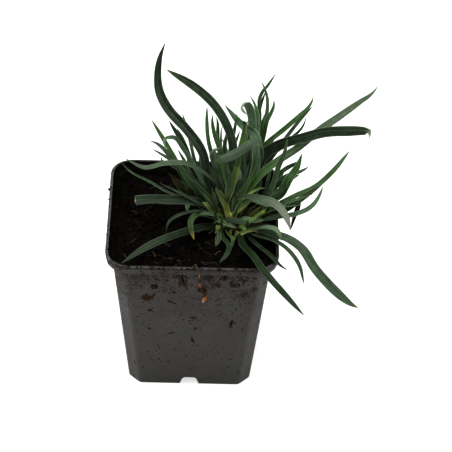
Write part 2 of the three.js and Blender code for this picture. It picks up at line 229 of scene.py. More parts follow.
def maths(tree, operation, *values):
    """A Math node's result."""
    sockets = {f"_{i}": value for i, value in enumerate(values)}
    return add(tree, "Math", {"operation": operation}, **sockets).outputs[0]


def times(tree, first, second):
    """Two values multiplied."""
    return maths(tree, "MULTIPLY", first, second)


def blend(tree, share, under, over, mode="MIX"):
    """Two colours mixed by a share."""
    settings = {"data_type": "RGBA", "blend_type": mode}
    return add(tree, "Mix", settings, _0=share, _6=under, _7=over).outputs[2]


def spread(tree, value, low, high, to_low=0.0, to_high=1.0, kind="SMOOTHSTEP"):
    """A value between two limits, spread between two others."""
    settings = {"interpolation_type": kind}
    made = add(tree, "MapRange", settings, _0=value, _1=low, _2=high, _3=to_low, _4=to_high)
    return made.outputs[0]


def grain(tree, vector, scale, detail=3.0, rough=0.5):
    """Noise from 0 to 1."""
    made = add(tree, "TexNoise", Vector=vector, Scale=scale, Detail=detail, Roughness=rough)
    return made.outputs[0]


def in_object(tree):
    """Object coordinates."""
    return add(tree, "TexCoord").outputs["Object"]


def new_group(name, takes, gives):
    """An empty node group with its sockets. takes and gives are lists of (name, kind)."""
    tree = bpy.data.node_groups.new(name, "ShaderNodeTree")
    kinds = {"value": "NodeSocketFloat", "colour": "NodeSocketColor", "vector": "NodeSocketVector"}
    for direction, sockets in (("INPUT", takes), ("OUTPUT", gives)):
        for socket, kind in sockets:
            tree.interface.new_socket(socket, in_out=direction, socket_type=kinds[kind])
    return tree, tree.nodes.new("NodeGroupInput").outputs, tree.nodes.new("NodeGroupOutput").inputs


def use_group(tree, group, **sockets):
    """A group placed in a material."""
    return add(tree, "Group", {"node_tree": group}, **sockets).outputs


def new_material(name, **constants):
    """A material with its own shader, whose unchanging values are set on its sockets."""
    material = bpy.data.materials.new(name)
    material.use_nodes = True
    shader = material.node_tree.nodes["Principled BSDF"]
    for key, value in constants.items():
        shader.inputs[key.replace("_", " ")].default_value = value
    return material, material.node_tree, shader


def wire(tree, shader, colour, roughness=None, height=None, distance=0.0001, strength=1.0):
    """Wires a colour, a roughness and a height into a shader."""
    tree.links.new(colour, shader.inputs["Base Color"])
    if roughness is not None:
        tree.links.new(roughness, shader.inputs["Roughness"])
    if height is not None:
        bump = add(tree, "Bump", Height=height, Distance=distance, Strength=strength)
        tree.links.new(bump.outputs[0], shader.inputs["Normal"])


# %% [markdown]
# ## Floor and light
# The pot stands on a white table in a light tent: one broad lamp overhead, one at each side, and an
# even white surround. Soft light keeps the shadow under the rim faint and the leaves' gloss broad. The
# camera sees the table and the surround a little brighter than they light the pot.

# %% Floor
FLOOR_SIZE = 6.0
FLOOR_DROP = 0.0002
TABLE_GLOW = 0.72
TENT_LIGHT = 0.42
clear()
bpy.ops.mesh.primitive_plane_add(size=FLOOR_SIZE, location=(0, 0, -FLOOR_DROP))
floor = named("white_table")
floor_finish, tree, shader = new_material("white_table", Roughness=0.8, Specular_IOR_Level=0.1)
cloud = grain(tree, in_object(tree), 3.0)
wire(tree, shader, blend(tree, cloud, paint("b4b4b4"), paint("b8b8b8")))
seen = add(tree, "LightPath").outputs["Is Camera Ray"]
shader.inputs["Emission Color"].default_value = (1, 1, 1, 1)
tree.links.new(times(tree, seen, TABLE_GLOW), shader.inputs["Emission Strength"])
floor.data.materials.append(floor_finish)
print("table", FLOOR_SIZE, "m wide")

# %% Lamps
LAMPS_AIM = Vector((0.01, 0, 0.09))


def lamp(name, place, width, power):
    """A square softbox that points at the middle of the pot."""
    clear()
    direction = (LAMPS_AIM - Vector(place)).to_track_quat("-Z", "Y").to_euler()
    bpy.ops.object.light_add(type="AREA", location=place, rotation=direction)
    made = bpy.context.object
    made.name = name
    made.data.shape = "SQUARE"
    made.data.size = width
    made.data.energy = power


lamp("softbox_above", (-0.1, 0.1, 1.5), 1.2, 22)
lamp("softbox_left", (-1.25, -0.2, 0.5), 0.9, 13.0)
lamp("softbox_right", (1.25, -0.2, 0.45), 0.9, 11.5)

world = bpy.data.worlds.new("light_tent")
world.use_nodes = True
surround = world.node_tree.nodes["Background"]
surround.inputs["Color"].default_value = (1, 1, 1, 1)
seen = add(world.node_tree, "LightPath").outputs["Is Camera Ray"]
world.node_tree.links.new(spread(world.node_tree, seen, 0, 1, TENT_LIGHT, 1.0), surround.inputs["Strength"])
bpy.context.scene.world = world
bpy.context.scene.view_settings.view_transform = "Standard"
bpy.context.scene.view_settings.look = "None"
bpy.context.scene.view_settings.gamma = 0.8

# %% [markdown]
# ## Shared surface effects
# Two effects turn up on several pieces, so each is a node group: a soft mottling of two colours, and
# crumbs of soil that cling to a surface. Most finishes are the mottling with a roughness and a bump
# from its mask, so one function makes them; what is special about a finish is handed in.

# %% Shared surface effects
mottle, takes, gives = new_group(
    "Mottling",
    [("Vector", "vector"), ("Scale", "value"), ("Light", "colour"), ("Dark", "colour")],
    [("Colour", "colour"), ("Mask", "value")],
)
coarse = grain(mottle, takes["Vector"], takes["Scale"], 4.0, 0.6)
mask = spread(mottle, coarse, 0.32, 0.68)
mottle.links.new(mask, gives["Mask"])
mottle.links.new(blend(mottle, mask, takes["Dark"], takes["Light"]), gives["Colour"])

WOBBLE = 0.0012  # bends the cells' straight sides, in metres
clinging, takes, gives = new_group(
    "Clinging soil",
    [("Vector", "vector"), ("Scale", "value"), ("Amount", "value"), ("Size", "value")],
    [("Mask", "value"), ("Tone", "value")],
)
wobble = add(clinging, "TexNoise", Vector=takes["Vector"], Scale=900.0, Detail=2.0)
bent = add(
    clinging, "VectorMath", {"operation": "MULTIPLY_ADD"},
    _0=wobble.outputs["Color"], _1=(WOBBLE, WOBBLE, WOBBLE), _2=takes["Vector"],
)
cells = add(clinging, "TexVoronoi", Vector=bent.outputs[0], Scale=takes["Scale"])
split = add(clinging, "SeparateColor", Color=cells.outputs["Color"])
chosen = maths(clinging, "LESS_THAN", split.outputs[0], takes["Amount"])
spot_size = times(clinging, takes["Size"], split.outputs[1])
rim = maths(clinging, "ADD", spot_size, 0.08)
spot = spread(clinging, cells.outputs["Distance"], spot_size, rim, 1.0, 0.0)
clinging.links.new(times(clinging, spot, chosen), gives["Mask"])
clinging.links.new(split.outputs[2], gives["Tone"])


def mottled_finish(name, gloss, scale, light, dark, rough, bump=None, colour=None, height=None):
    """A material of two mottled colours. colour and height are functions that build on the mottling."""
    material, tree, shader = new_material(name, Specular_IOR_Level=gloss)
    at = in_object(tree)
    skin = use_group(tree, mottle, Vector=at, Scale=scale, Light=paint(light), Dark=paint(dark))
    hue = colour(tree, at, skin) if colour else skin["Colour"]
    roughness = spread(tree, skin["Mask"], 0, 1, *rough)
    if bump:
        wire(tree, shader, hue, roughness, height(tree, at, skin) if height else skin["Mask"], *bump)
    else:
        wire(tree, shader, hue, roughness)
    return material


print("groups", [g.name for g in bpy.data.node_groups])

# %% [markdown]
# ## The pot
# A nursery pot is one sheet of dark grey plastic, pressed into a tapering square cup with flat facets
# down its corners and a turned-out rim. It could be one profile turned as a square, but here the body
# and the rim are two boxes with differently bevelled corners, bridged into each other. Six segments
# on every corner give both outlines the same number of points, so the bridge is clean.

# %% Sizes of the pot
POT_HEIGHT = 93 * MM
RIM_HALF = 45 * MM
LIP_HEIGHT = 4.5 * MM
LIP_DRAFT = 0.6 * MM
LEDGE = POT_HEIGHT - LIP_HEIGHT
BODY_TOP_HALF = 41.2 * MM
FOOT_HALF = 33 * MM
CORNER_RADIUS = 12 * MM
CORNER_FACET = 6.2 * MM
CORNER_STEPS = 6
RIM_THICK = 1.6 * MM
WALL = 1.2 * MM


def body_half(height):
    """Half width of the pot's outside at a height."""
    return FOOT_HALF + (BODY_TOP_HALF - FOOT_HALF) * height / LEDGE


def is_upright(edge):
    """An edge that runs up the pot."""
    run = edge.verts[1].co - edge.verts[0].co
    return abs(run.z) > 0.7 * run.length


# %% Body and rim band
clear()
bpy.ops.mesh.primitive_cube_add(
    size=2, location=(0, 0, LEDGE / 2), scale=(FOOT_HALF, FOOT_HALF, LEDGE / 2)
)
body = named("pot_body")
mode("EDIT")
pick("FACE", lambda f: middle(f).z > LEDGE - MM)
grow = BODY_TOP_HALF / FOOT_HALF
bpy.ops.transform.resize(value=(grow, grow, 1), center_override=(0, 0, LEDGE))
bpy.ops.mesh.delete(type="ONLY_FACE")
pick("EDGE", is_upright)
bpy.ops.mesh.bevel(offset=CORNER_FACET, segments=CORNER_STEPS, profile=0.25, affect="EDGES")

clear()
bpy.ops.mesh.primitive_cube_add(
    size=2, location=(0, 0, LEDGE + LIP_HEIGHT / 2), scale=(RIM_HALF, RIM_HALF, LIP_HEIGHT / 2)
)
band = named("pot_band")
mode("EDIT")
pick("FACE", lambda f: middle(f).z < LEDGE + 0.1 * MM)
shrink = (RIM_HALF - LIP_DRAFT) / RIM_HALF
bpy.ops.transform.resize(value=(shrink, shrink, 1), center_override=(0, 0, LEDGE))
pick("FACE", lambda f: abs(f.normal.z) > 0.9)
bpy.ops.mesh.delete(type="ONLY_FACE")
pick("EDGE", is_upright)
bpy.ops.mesh.bevel(offset=CORNER_RADIUS, segments=CORNER_STEPS, profile=0.5, affect="EDGES")

pot = joined([body, band], "pot_shell")
mode("EDIT")
pick("EDGE", lambda e: e.is_boundary and abs(middle(e).z - LEDGE) < 0.05 * MM)
bpy.ops.mesh.bridge_edge_loops()
print("pot shell", len(pot.data.polygons), "faces before it gets its thickness")

# %% Softened facets and the wall
FACET_SOFTNESS = 1.3 * MM
EDGE_SOFTNESS = 0.4 * MM


def borders_facet(edge):
    """An upright edge of the body where a side meets a corner facet."""
    spot = middle(edge)
    reach = max(abs(spot.x), abs(spot.y))
    return is_upright(edge) and spot.z < LEDGE - MM and reach > body_half(spot.z) - 0.05 * MM


pick("EDGE", borders_facet)
bpy.ops.mesh.bevel(offset=FACET_SOFTNESS, segments=4, profile=0.5, affect="EDGES")
pick_all()
bpy.ops.mesh.remove_doubles(threshold=0.01 * MM)
bpy.ops.mesh.normals_make_consistent(inside=False)
mode("OBJECT")

thickness = pot.vertex_groups.new(name="wall")
for vertex in pot.data.vertices:
    thickness.add([vertex.index], 1.0 if vertex.co.z > LEDGE + 0.1 * MM else WALL / RIM_THICK, "REPLACE")
modify(
    pot, "SOLIDIFY", thickness=RIM_THICK, offset=-1, use_even_offset=True, vertex_group="wall",
    use_quality_normals=True,
)
modify(pot, "BEVEL", width=EDGE_SOFTNESS, segments=3, limit_method="ANGLE", angle_limit=math.radians(38))
print("pot wall", len(pot.data.polygons), "faces")

# %% [markdown]
# Water drains through four arched notches at the foot, one in the middle of each side, and through
# four round holes in the floor. Inside, each notch pushes up a hump. One arch is modelled and turned
# round the pot; a larger set makes the humps, which are added before the notches are cut, and the
# largest is kept to cut the soil clear of them.

# %% Drain notches and holes
NOTCH_HALF = 5.5 * MM
NOTCH_TOP = 7 / 11  # width at the top over width at the foot
NOTCH_HEIGHT = 5 * MM
NOTCH_DEPTH = 12 * MM
NOTCH_ROUND = 1.6 * MM
HUMP_INSET = 0.6 * MM
SOIL_GAP = 1.8 * MM
OUTSIDE = FOOT_HALF + 3 * MM
DRAIN_RADIUS = 3 * MM
DRAIN_OFFSET = 15 * MM
DRAIN_CUT = 10 * MM
CORNERS = ((1, 1), (-1, 1), (-1, -1), (1, -1))


def four_arches(name, margin, low, mouth, depth):
    """An arched bar, once for each side of the foot."""
    clear()
    high = NOTCH_HEIGHT + margin
    bpy.ops.mesh.primitive_cube_add(
        size=2,
        location=(0, -(mouth + FOOT_HALF - depth) / 2, (low + high) / 2),
        scale=(NOTCH_HALF + margin, (mouth - FOOT_HALF + depth) / 2, (high - low) / 2),
    )
    arch = named(name)
    mode("EDIT")
    pick("FACE", lambda f: f.normal.z > 0.9)
    bpy.ops.transform.resize(value=(NOTCH_TOP, 1, 1), center_override=(0, 0, high))
    pick("EDGE", lambda e: middle(e).z > high - 0.1 * MM and abs(middle(e).x) > MM)
    bpy.ops.mesh.bevel(offset=NOTCH_ROUND + margin, segments=4, profile=0.5, affect="EDGES")
    clear()
    arches = [arch]
    for quarter in (1, 2, 3):
        other = only(twin(arch, f"{name}_{quarter}"))
        other.rotation_euler.z = math.radians(90 * quarter)
        bpy.ops.object.transform_apply(location=False, rotation=True, scale=False)
        arches.append(other)
    return joined(arches, name)


humps = four_arches("notch_humps", WALL, HUMP_INSET, FOOT_HALF - HUMP_INSET, NOTCH_DEPTH + WALL)
soil_clearance = four_arches("hump_clearance", SOIL_GAP, -MM, OUTSIDE, NOTCH_DEPTH + SOIL_GAP)
notches = four_arches("notches", 0, -MM, OUTSIDE, NOTCH_DEPTH)
clear()
holes = []
for x, y in CORNERS:
    bpy.ops.mesh.primitive_cylinder_add(
        vertices=24, radius=DRAIN_RADIUS, depth=DRAIN_CUT, location=(x * DRAIN_OFFSET, y * DRAIN_OFFSET, 0)
    )
    holes.append(named("drain"))
holes = joined(holes, "drains")
for operation, tool in (("UNION", humps), ("DIFFERENCE", notches), ("DIFFERENCE", holes)):
    modify(pot, "BOOLEAN", operation=operation, object=tool, solver="EXACT")
    bpy.data.objects.remove(tool)
only(pot)
mode("EDIT")
pick_all()
bpy.ops.mesh.remove_doubles(threshold=0.005 * MM)
bpy.ops.mesh.quads_convert_to_tris(quad_method="BEAUTY", ngon_method="BEAUTY")
smooth(pot, 30)

inside = pot.data.attributes.new("inside", "FLOAT", "FACE")
for face in pot.data.polygons:
    across = Vector((face.center.x, face.center.y))
    facing_in = across.dot(Vector(face.normal[:2])) < -0.3 * across.length
    up_in_cup = face.normal.z > 0.5 and face.center.z < POT_HEIGHT - 1.2 * MM
    inside.data[face.index].value = float(facing_in or up_in_cup)
print("pot", len(pot.data.polygons), "faces")

# %% [markdown]
# The plastic is dark warm grey with a soft sheen and a very fine moulded grain. Peat clings to it as
# near-black specks, brown smears and stains, thickest just below the rim where it spilled at potting,
# and mostly at the front. Each kind of dirt is a mask; a mask from the height says where it may be.
# The rim's upper edge is darkened in patches: partly caked peat, partly painted shade that keeps the rim's
# top from catching the light. The inside of the cup is peat all over.

# %% Finish of the pot
DIRTY_WALL = (0.02, 0.086)  # heights between which the peat on the wall grows thick
CAKED_AND_SHADED_RIM = (0.0908, 0.0924)  # heights between which the rim gets its cake of peat and its painted shade
STAINS_BACK = -0.0395
STAINS = [  # across, up, radius, in millimetres on the front wall
    (-23, 67.5, 4.2), (-19.5, 76, 3.0), (-5.5, 85, 4.4), (-4.5, 79, 3.8), (-14, 84, 3.4), (-21, 82, 3.4),
    (1.6, 53, 2.8), (22, 49, 2.8), (1, 35, 2.6), (4.5, 31, 1.8), (5.5, 75, 4.2), (17, 85, 3.8), (9, 85, 4.6),
    (22, 79, 4.0), (27.5, 71.5, 3.2), (13, 78, 3.4), (-21.5, 58, 2.4), (27, 84, 4.4), (-30, 84, 3.4),
    (-10.5, 2.5, 3.4), (-11.3, 17.6, 2.0), (20, 14, 1.8), (-10, 72, 2.0), (33, 76, 2.6), (2, 86, 3.0),
]
pot_finish, tree, shader = new_material("pot_plastic", Specular_IOR_Level=0.5)
at = in_object(tree)
axes = add(tree, "SeparateXYZ", Vector=at).outputs
plastic = use_group(tree, mottle, Vector=at, Scale=38.0, Light=paint("53524e"), Dark=paint("4a4946"))
fine = grain(tree, at, 1500.0, 2.0)
colour = blend(tree, spread(tree, fine, 0.35, 0.65, 0.0, 0.35), plastic["Colour"], paint("5f5d59"))
high = maths(tree, "POWER", spread(tree, axes[2], *DIRTY_WALL, kind="LINEAR"), 2.2)
front = spread(tree, axes[1], 0.0, -0.03, 0.3, 1.0)
dirt_zone = times(tree, high, front)
film_noise = spread(tree, grain(tree, at, 70.0, 6.0, 0.7), 0.42, 0.72)
film = times(tree, film_noise, spread(tree, dirt_zone, 0.0, 1.0, 0.12, 0.75))
colour = blend(tree, film, colour, paint("2a221c"))
smear_noise = spread(tree, grain(tree, at, 150.0, 4.0, 0.65), 0.56, 0.68)
smear = times(tree, smear_noise, spread(tree, dirt_zone, 0.1, 0.9, 0.08, 0.85))
colour = blend(tree, smear, colour, paint("4a2a1a"))
stains = 0.0
for x, z, wide in STAINS:
    spot = (x * MM, STAINS_BACK, z * MM)
    offset = add(tree, "VectorMath", {"operation": "DISTANCE"}, _0=at, _1=spot)
    near = spread(tree, offset.outputs["Value"], wide * 0.35 * MM, wide * 1.15 * MM, 1.0, 0.0)
    stains = maths(tree, "MAXIMUM", stains, near)
ragged = spread(tree, grain(tree, at, 330.0, 5.0, 0.7), 0.36, 0.6)
colour = blend(tree, times(tree, stains, ragged), colour, paint("5c3818"))
core = times(tree, spread(tree, stains, 0.45, 0.85), spread(tree, ragged, 0.25, 0.7))
colour = blend(tree, core, colour, paint("120d0a"))
specks = 0.0
for scale, amount_low, amount_high, size in (
    (330.0, 0.02, 0.30, 0.30),
    (620.0, 0.05, 0.46, 0.36),
    (1200.0, 0.08, 0.5, 0.4),
    (2200.0, 0.15, 0.5, 0.4),
):
    amount = spread(tree, dirt_zone, 0.0, 1.0, amount_low, amount_high)
    crumbs = use_group(tree, clinging, Vector=at, Scale=scale, Amount=amount, Size=size)
    earth = blend(tree, crumbs["Tone"], paint("0e0b09"), paint("2c1a12"))
    colour = blend(tree, crumbs["Mask"], colour, earth)
    specks = maths(tree, "MAXIMUM", specks, crumbs["Mask"])
slant = (0, math.radians(-22), 0)
scratch_at = add(tree, "Mapping", Vector=at, Rotation=slant, Scale=(60, 60, 900))
scratches = spread(tree, grain(tree, scratch_at.outputs[0], 1.0, 1.0), 0.74, 0.8, 0.0, 0.5)
colour = blend(tree, scratches, colour, paint("171513"))
rim_noise = spread(tree, grain(tree, at, 260.0, 4.0, 0.6), 0.45, 0.62)
patchy = spread(tree, rim_noise, 0, 1, 0.55, 0.97)
for axis, inner, outer, least, most in (
    (1, -0.030, -0.038, 0.5, 0.88),  # less peat and painted shade on the front edge of the rim
    (0, -0.0405, -0.0430, 0.0, 0.6),  # and least on the left one
):
    edge = spread(tree, axes[axis], inner, outer)
    patchy = blend(tree, edge, patchy, spread(tree, rim_noise, 0, 1, least, most))
# The dark rim is partly caked peat and partly painted shade on the rim's top.
caked_and_shaded = times(tree, spread(tree, axes[2], *CAKED_AND_SHADED_RIM), patchy)
colour = blend(tree, caked_and_shaded, colour, blend(tree, rim_noise, paint("080706"), paint("15110e")))
dull = maths(tree, "MAXIMUM", maths(tree, "MAXIMUM", specks, film), caked_and_shaded)
sheen = spread(tree, plastic["Mask"], 0, 1, 0.36, 0.46)
roughness = maths(tree, "ADD", sheen, times(tree, dull, 0.4))
height = maths(tree, "ADD", times(tree, fine, 0.12), specks)
wire(tree, shader, colour, roughness, height, 0.00012, 0.7)
belongs(pot, "pot_plastic", pot_finish, "pot")

pot.data.materials.append(
    mottled_finish("peat_on_plastic", 0.08, 240.0, "15110e", "080706", (0.85, 0.97), (0.0002, 0.8))
)
for face in pot.data.polygons:
    face.material_index = int(inside.data[face.index].value)
print("pot is dressed")

# %% [markdown]
# ## The potting soil
# Dark peat fills the pot to about a centimetre below the rim and is banked up at the wall. Its surface
# is a fine grid, cut to the pot's eight-sided inside, pushed up and down by noise of several sizes, and
# drawn down to a solid block. Loose crumbs, bark chips, fine roots and bits of straw lie on it as
# pieces of their own.

# %% Surface of the soil
SOIL_TOP = 84 * MM
SOIL_UNDER = 2.1 * MM
SOIL_ROOM = WALL + 0.42 * MM
SOIL_HALF = body_half(SOIL_TOP) - SOIL_ROOM
SOIL_CORNER = (2 * body_half(SOIL_TOP) - CORNER_FACET) / math.sqrt(2) - SOIL_ROOM


def soil_height(x, y):
    """Height of the soil's surface, in metres."""
    u, v = x / MM, y / MM
    ripple = math.sin(u * 0.16 + 1) * math.cos(v * 0.13) + 0.6 * math.sin(u * 0.31 - v * 0.24)
    mound = math.exp(-((u - 22) ** 2 + (v - 1) ** 2) / 300)
    clods = noise.fractal(Vector((u * 0.22, v * 0.22, 3)), 0.6, 2.0, 4)
    grit = noise.fractal(Vector((u * 0.9, v * 0.9, 9)), 0.7, 2.0, 3)
    pits = -abs(noise.noise(Vector((u * 0.13, v * 0.13, 5)))) * 2.0
    wall = min(1, max(0, (SOIL_HALF - max(abs(x), abs(y))) / (5 * MM)))
    bank = (1 - wall) ** 1.6 * (3.2 + 1.6 * noise.noise(Vector((u * 0.12, v * 0.12, 7))))
    rough = (1.1 * clods + 0.5 * grit + pits) * (0.5 + 0.5 * wall)
    return SOIL_TOP + (0.8 * ripple + 1.2 * mound + rough + bank) * MM


clear()
bpy.ops.mesh.primitive_grid_add(
    x_subdivisions=130, y_subdivisions=130, size=2 * SOIL_HALF, location=(0, 0, SOIL_TOP)
)
soil = named("potting_soil_block")
mode("EDIT")
for x, y in CORNERS:
    outward = Vector((x, y, 0)).normalized()
    pick_all()
    bpy.ops.mesh.bisect(plane_co=outward * SOIL_CORNER, plane_no=outward, clear_outer=True)
mode("OBJECT")
for vertex in soil.data.vertices:
    vertex.co.z = soil_height(vertex.co.x, vertex.co.y)
    vertex.co.xy *= body_half(vertex.co.z) / body_half(SOIL_TOP)
mode("EDIT")
pick("EDGE", lambda e: e.is_boundary)
bpy.ops.mesh.extrude_region_move()
narrow = (body_half(SOIL_UNDER) - SOIL_ROOM) / SOIL_HALF
bpy.ops.transform.resize(value=(narrow, narrow, 0), center_override=(0, 0, SOIL_UNDER))
bpy.ops.mesh.edge_face_add()
pick_all()
bpy.ops.mesh.normals_make_consistent(inside=False)
mode("OBJECT")
modify(soil, "BOOLEAN", operation="DIFFERENCE", object=soil_clearance, solver="EXACT")
bpy.data.objects.remove(soil_clearance)
smooth(soil, 60)
print("soil", len(soil.data.polygons), "faces")

# %% Finish of the soil
def peat_colour(tree, at, skin):
    """Very dark peat, partly painted shade, with brown patches and a few pale bits."""
    brown = spread(tree, grain(tree, at, 700.0, 3.0, 0.6), 0.6, 0.78, 0.0, 0.7)
    colour = blend(tree, brown, skin["Colour"], paint("211a10"))
    pale = use_group(tree, clinging, Vector=at, Scale=900.0, Amount=0.07, Size=0.45)
    return blend(tree, times(tree, pale["Mask"], 0.6), colour, paint("3f3018"))


def peat_height(tree, at, skin):
    """The mottling with a finer grain on it."""
    return maths(tree, "ADD", skin["Mask"], grain(tree, at, 1400.0, 4.0, 0.7))


# The peat's colours are darker than peat itself: partly its own colour, partly painted shade of the soil
# lying deep in the pot.
soil_finish = mottled_finish(
    "peat", 0.06, 260.0, "14110d", "090706", (0.8, 0.97), (0.0005, 1.0), peat_colour, peat_height
)
belongs(soil, "soil", soil_finish, "potting_soil")
print("soil is dressed")

# %% [markdown]
# ## What lies on the soil
# The same few shapes turn up hundreds of times, so a crumb, a chip and a fibre are each modelled once
# with few faces, and a scattering places them at seeded random spots, half sunk in the surface.

# %% Crumb, chip and fibre
def roughened(piece, amount, scale, seed):
    """Pushes a small shape's points about with noise."""
    for vertex in piece.data.vertices:
        push = noise.noise_vector(vertex.co * scale + Vector((seed, 0, 0)))
        vertex.co += push * amount
    piece.data.update()


def crumb_shape(seed):
    """A lump of peat, about one unit across."""
    clear()
    bpy.ops.mesh.primitive_ico_sphere_add(subdivisions=2, radius=0.5)
    lump = named("crumb")
    roughened(lump, 0.22, 2.2, seed)
    return lump


def chip_shape(seed):
    """A flat flake of bark, one unit long."""
    clear()
    bpy.ops.mesh.primitive_cube_add(size=1, scale=(1, 0.42, 0.16))
    flake = named("chip")
    mode("EDIT")
    pick_all()
    bpy.ops.mesh.subdivide(number_cuts=1)
    bpy.ops.mesh.bevel(offset=0.03, segments=1, affect="EDGES")
    mode("OBJECT")
    roughened(flake, 0.12, 3.0, seed)
    return flake


def fibre_shape(bend):
    """A hair-thin root or straw, one unit long, bent."""
    clear()
    bpy.ops.mesh.primitive_cylinder_add(vertices=5, radius=0.02, depth=1, rotation=(0, math.radians(90), 0))
    thread = named("fibre")
    mode("EDIT")
    pick("EDGE", lambda e: abs(middle(e).x) < 0.3)
    bpy.ops.mesh.subdivide(number_cuts=6)
    mode("OBJECT")
    for vertex in thread.data.vertices:
        x = vertex.co.x
        vertex.co.y += bend * (math.cos(x * 3.1) - 0.6) + 0.05 * math.sin(x * 9 + bend * 20)
        vertex.co.z += 0.04 * math.sin(x * 7 + bend * 11)
    return thread


noise.seed_set(1)  # noise_vector takes its offsets from the clock unless a seed is set
CRUMBS = [crumb_shape(seed) for seed in (3, 11, 27, 41)]
CHIPS = [chip_shape(seed) for seed in (5, 17)]
FIBRES = [fibre_shape(bend) for bend in (0.12, -0.22, 0.35)]
print("a crumb has", len(CRUMBS[0].data.polygons), "faces, a fibre", len(FIBRES[0].data.polygons))

# %% Scattering
WALL_MARGIN = 1.5 * MM


def in_soil(x, y, margin):
    """Whether a spot is on the soil, a margin inside the wall."""
    reach = max(abs(x), abs(y)) + margin
    return reach < SOIL_HALF and (abs(x) + abs(y)) / math.sqrt(2) + margin < SOIL_CORNER


def scattered(name, shapes, places):
    """One piece made of copies of a few shapes. places are matrices."""
    mesh = bpy.data.meshes.new(name)
    shape = bmesh.new()
    for i, place in enumerate(places):
        first = len(shape.verts)
        shape.from_mesh(shapes[i % len(shapes)].data)
        shape.verts.ensure_lookup_table()
        bmesh.ops.transform(shape, matrix=place, verts=shape.verts[first:])
    shape.to_mesh(mesh)
    shape.free()
    piece = bpy.data.objects.new(name, mesh)
    bpy.context.collection.objects.link(piece)
    return piece


def tumbled(dice, spot, size, squash=1.0, flat=False):
    """A matrix that places a shape at a spot with a random turn."""
    lean = 0.35 if flat else math.pi
    turn = (dice.uniform(-lean, lean), dice.uniform(-lean, lean), dice.uniform(0, 2 * math.pi))
    spin = Matrix.Identity(3)
    for axis, angle in zip("XYZ", turn):
        spin = Matrix.Rotation(angle, 3, axis) @ spin
    scale = Matrix.Diagonal((size, size * squash, size * squash))
    return Matrix.Translation(spot) @ (spin @ scale).to_4x4()


def on_soil(dice, count, low, high, sink, **shape):
    """Matrices for random spots on the soil, with sizes from low to high, most of them small."""
    places = []
    while len(places) < count:
        x, y = (dice.uniform(-SOIL_HALF, SOIL_HALF) for _ in range(2))
        size = low + (high - low) * dice.random() ** 2.2
        if in_soil(x, y, WALL_MARGIN + size / 2):
            spot = Vector((x, y, soil_height(x, y) + size * sink))
            places.append(tumbled(dice, spot, size, **shape))
    return places


dice = random.Random(7)
crumbs = scattered("peat_crumbs", CRUMBS, on_soil(dice, 900, 0.7 * MM, 3.4 * MM, 0.12))
smooth(crumbs, 50)
belongs(crumbs, "soil", soil_finish)
chips = scattered("bark_chips", CHIPS, on_soil(dice, 70, 2 * MM, 6.5 * MM, 0.07, flat=True))
fibres = scattered("fine_roots_in_soil", FIBRES, on_soil(dice, 110, 4 * MM, 12 * MM, 0.02, flat=True))
smooth(fibres)
print("faces of the crumbs, chips and fibres", [len(p.data.polygons) for p in (crumbs, chips, fibres)])

# %% Finishes of bark and fibres
def patched(scale, low, high, hue, detail=1.0):
    """A colour function: the mottling with soft patches of another colour."""

    def build(tree, at, skin):
        patch = spread(tree, grain(tree, at, scale, detail), low, high)
        return blend(tree, times(tree, patch, 0.6), skin["Colour"], paint(hue))

    return build


bark_finish = mottled_finish(
    "bark", 0.2, 420.0, "2e1c14", "120c09", (0.65, 0.85), (0.0003, 0.8), patched(60.0, 0.4, 0.6, "1b1410")
)
belongs(chips, "soil", bark_finish)
fibre_finish = mottled_finish("fine_roots", 0.25, 45.0, "33261a", "120d09", (0.6, 0.8))
belongs(fibres, "soil", fibre_finish)
print("finishes", bark_finish.name, fibre_finish.name)

# %% [markdown]
# ## Finishes of the leaves
# A dianthus leaf is thick and waxy. A pale bloom lies over the green, stronger on the underside and
# at the edges; fine veins run along it; the base is yellow-green where it grew in the dark, and old
# tips go tan. Each leaf carries two attributes: blade (along, across, underside, tone) and run (its
# own millimetres across and along), so that the veins follow the leaf however it bends.
# The lower part of each leaf is darkened, partly for its thinner bloom and partly as painted shade from the
# crown.

# %% Leaf colours
tree, takes, gives = new_group(
    "Blade colours",
    [(socket, "colour") for socket in ("Upper", "Underside", "Base", "Tip")]
    + [(socket, "value") for socket in ("Base length", "Tip share", "Bloom", "Foot light")],
    [("Colour", "colour"), ("Roughness", "value"), ("Height", "value")],
)
blade_colours = tree
blade = add(tree, "Attribute", {"attribute_name": "blade"})
run = add(tree, "Attribute", {"attribute_name": "run"})
along, across, underside = add(tree, "SeparateColor", Color=blade.outputs[0]).outputs
place = add(tree, "SeparateXYZ", Vector=run.outputs["Vector"]).outputs
tone = blade.outputs["Alpha"]

drawn_out = add(tree, "Mapping", Vector=run.outputs["Vector"], Scale=(4.2, 0.09, 1))
veins = grain(tree, drawn_out.outputs[0], 1.0, 2.0)
drawn_out = add(tree, "Mapping", Vector=run.outputs["Vector"], Scale=(1.1, 0.05, 1))
long_patches = grain(tree, drawn_out.outputs[0], 1.0, 3.0)
patches = grain(tree, run.outputs["Vector"], 0.22, 4.0, 0.6)

from_middle = maths(tree, "ABSOLUTE", maths(tree, "MULTIPLY_ADD", across, 2.0, -1.0))
edge = spread(tree, from_middle, 0.8, 0.97)
midrib = spread(tree, from_middle, 0.0, 0.2, 1.0, 0.0)

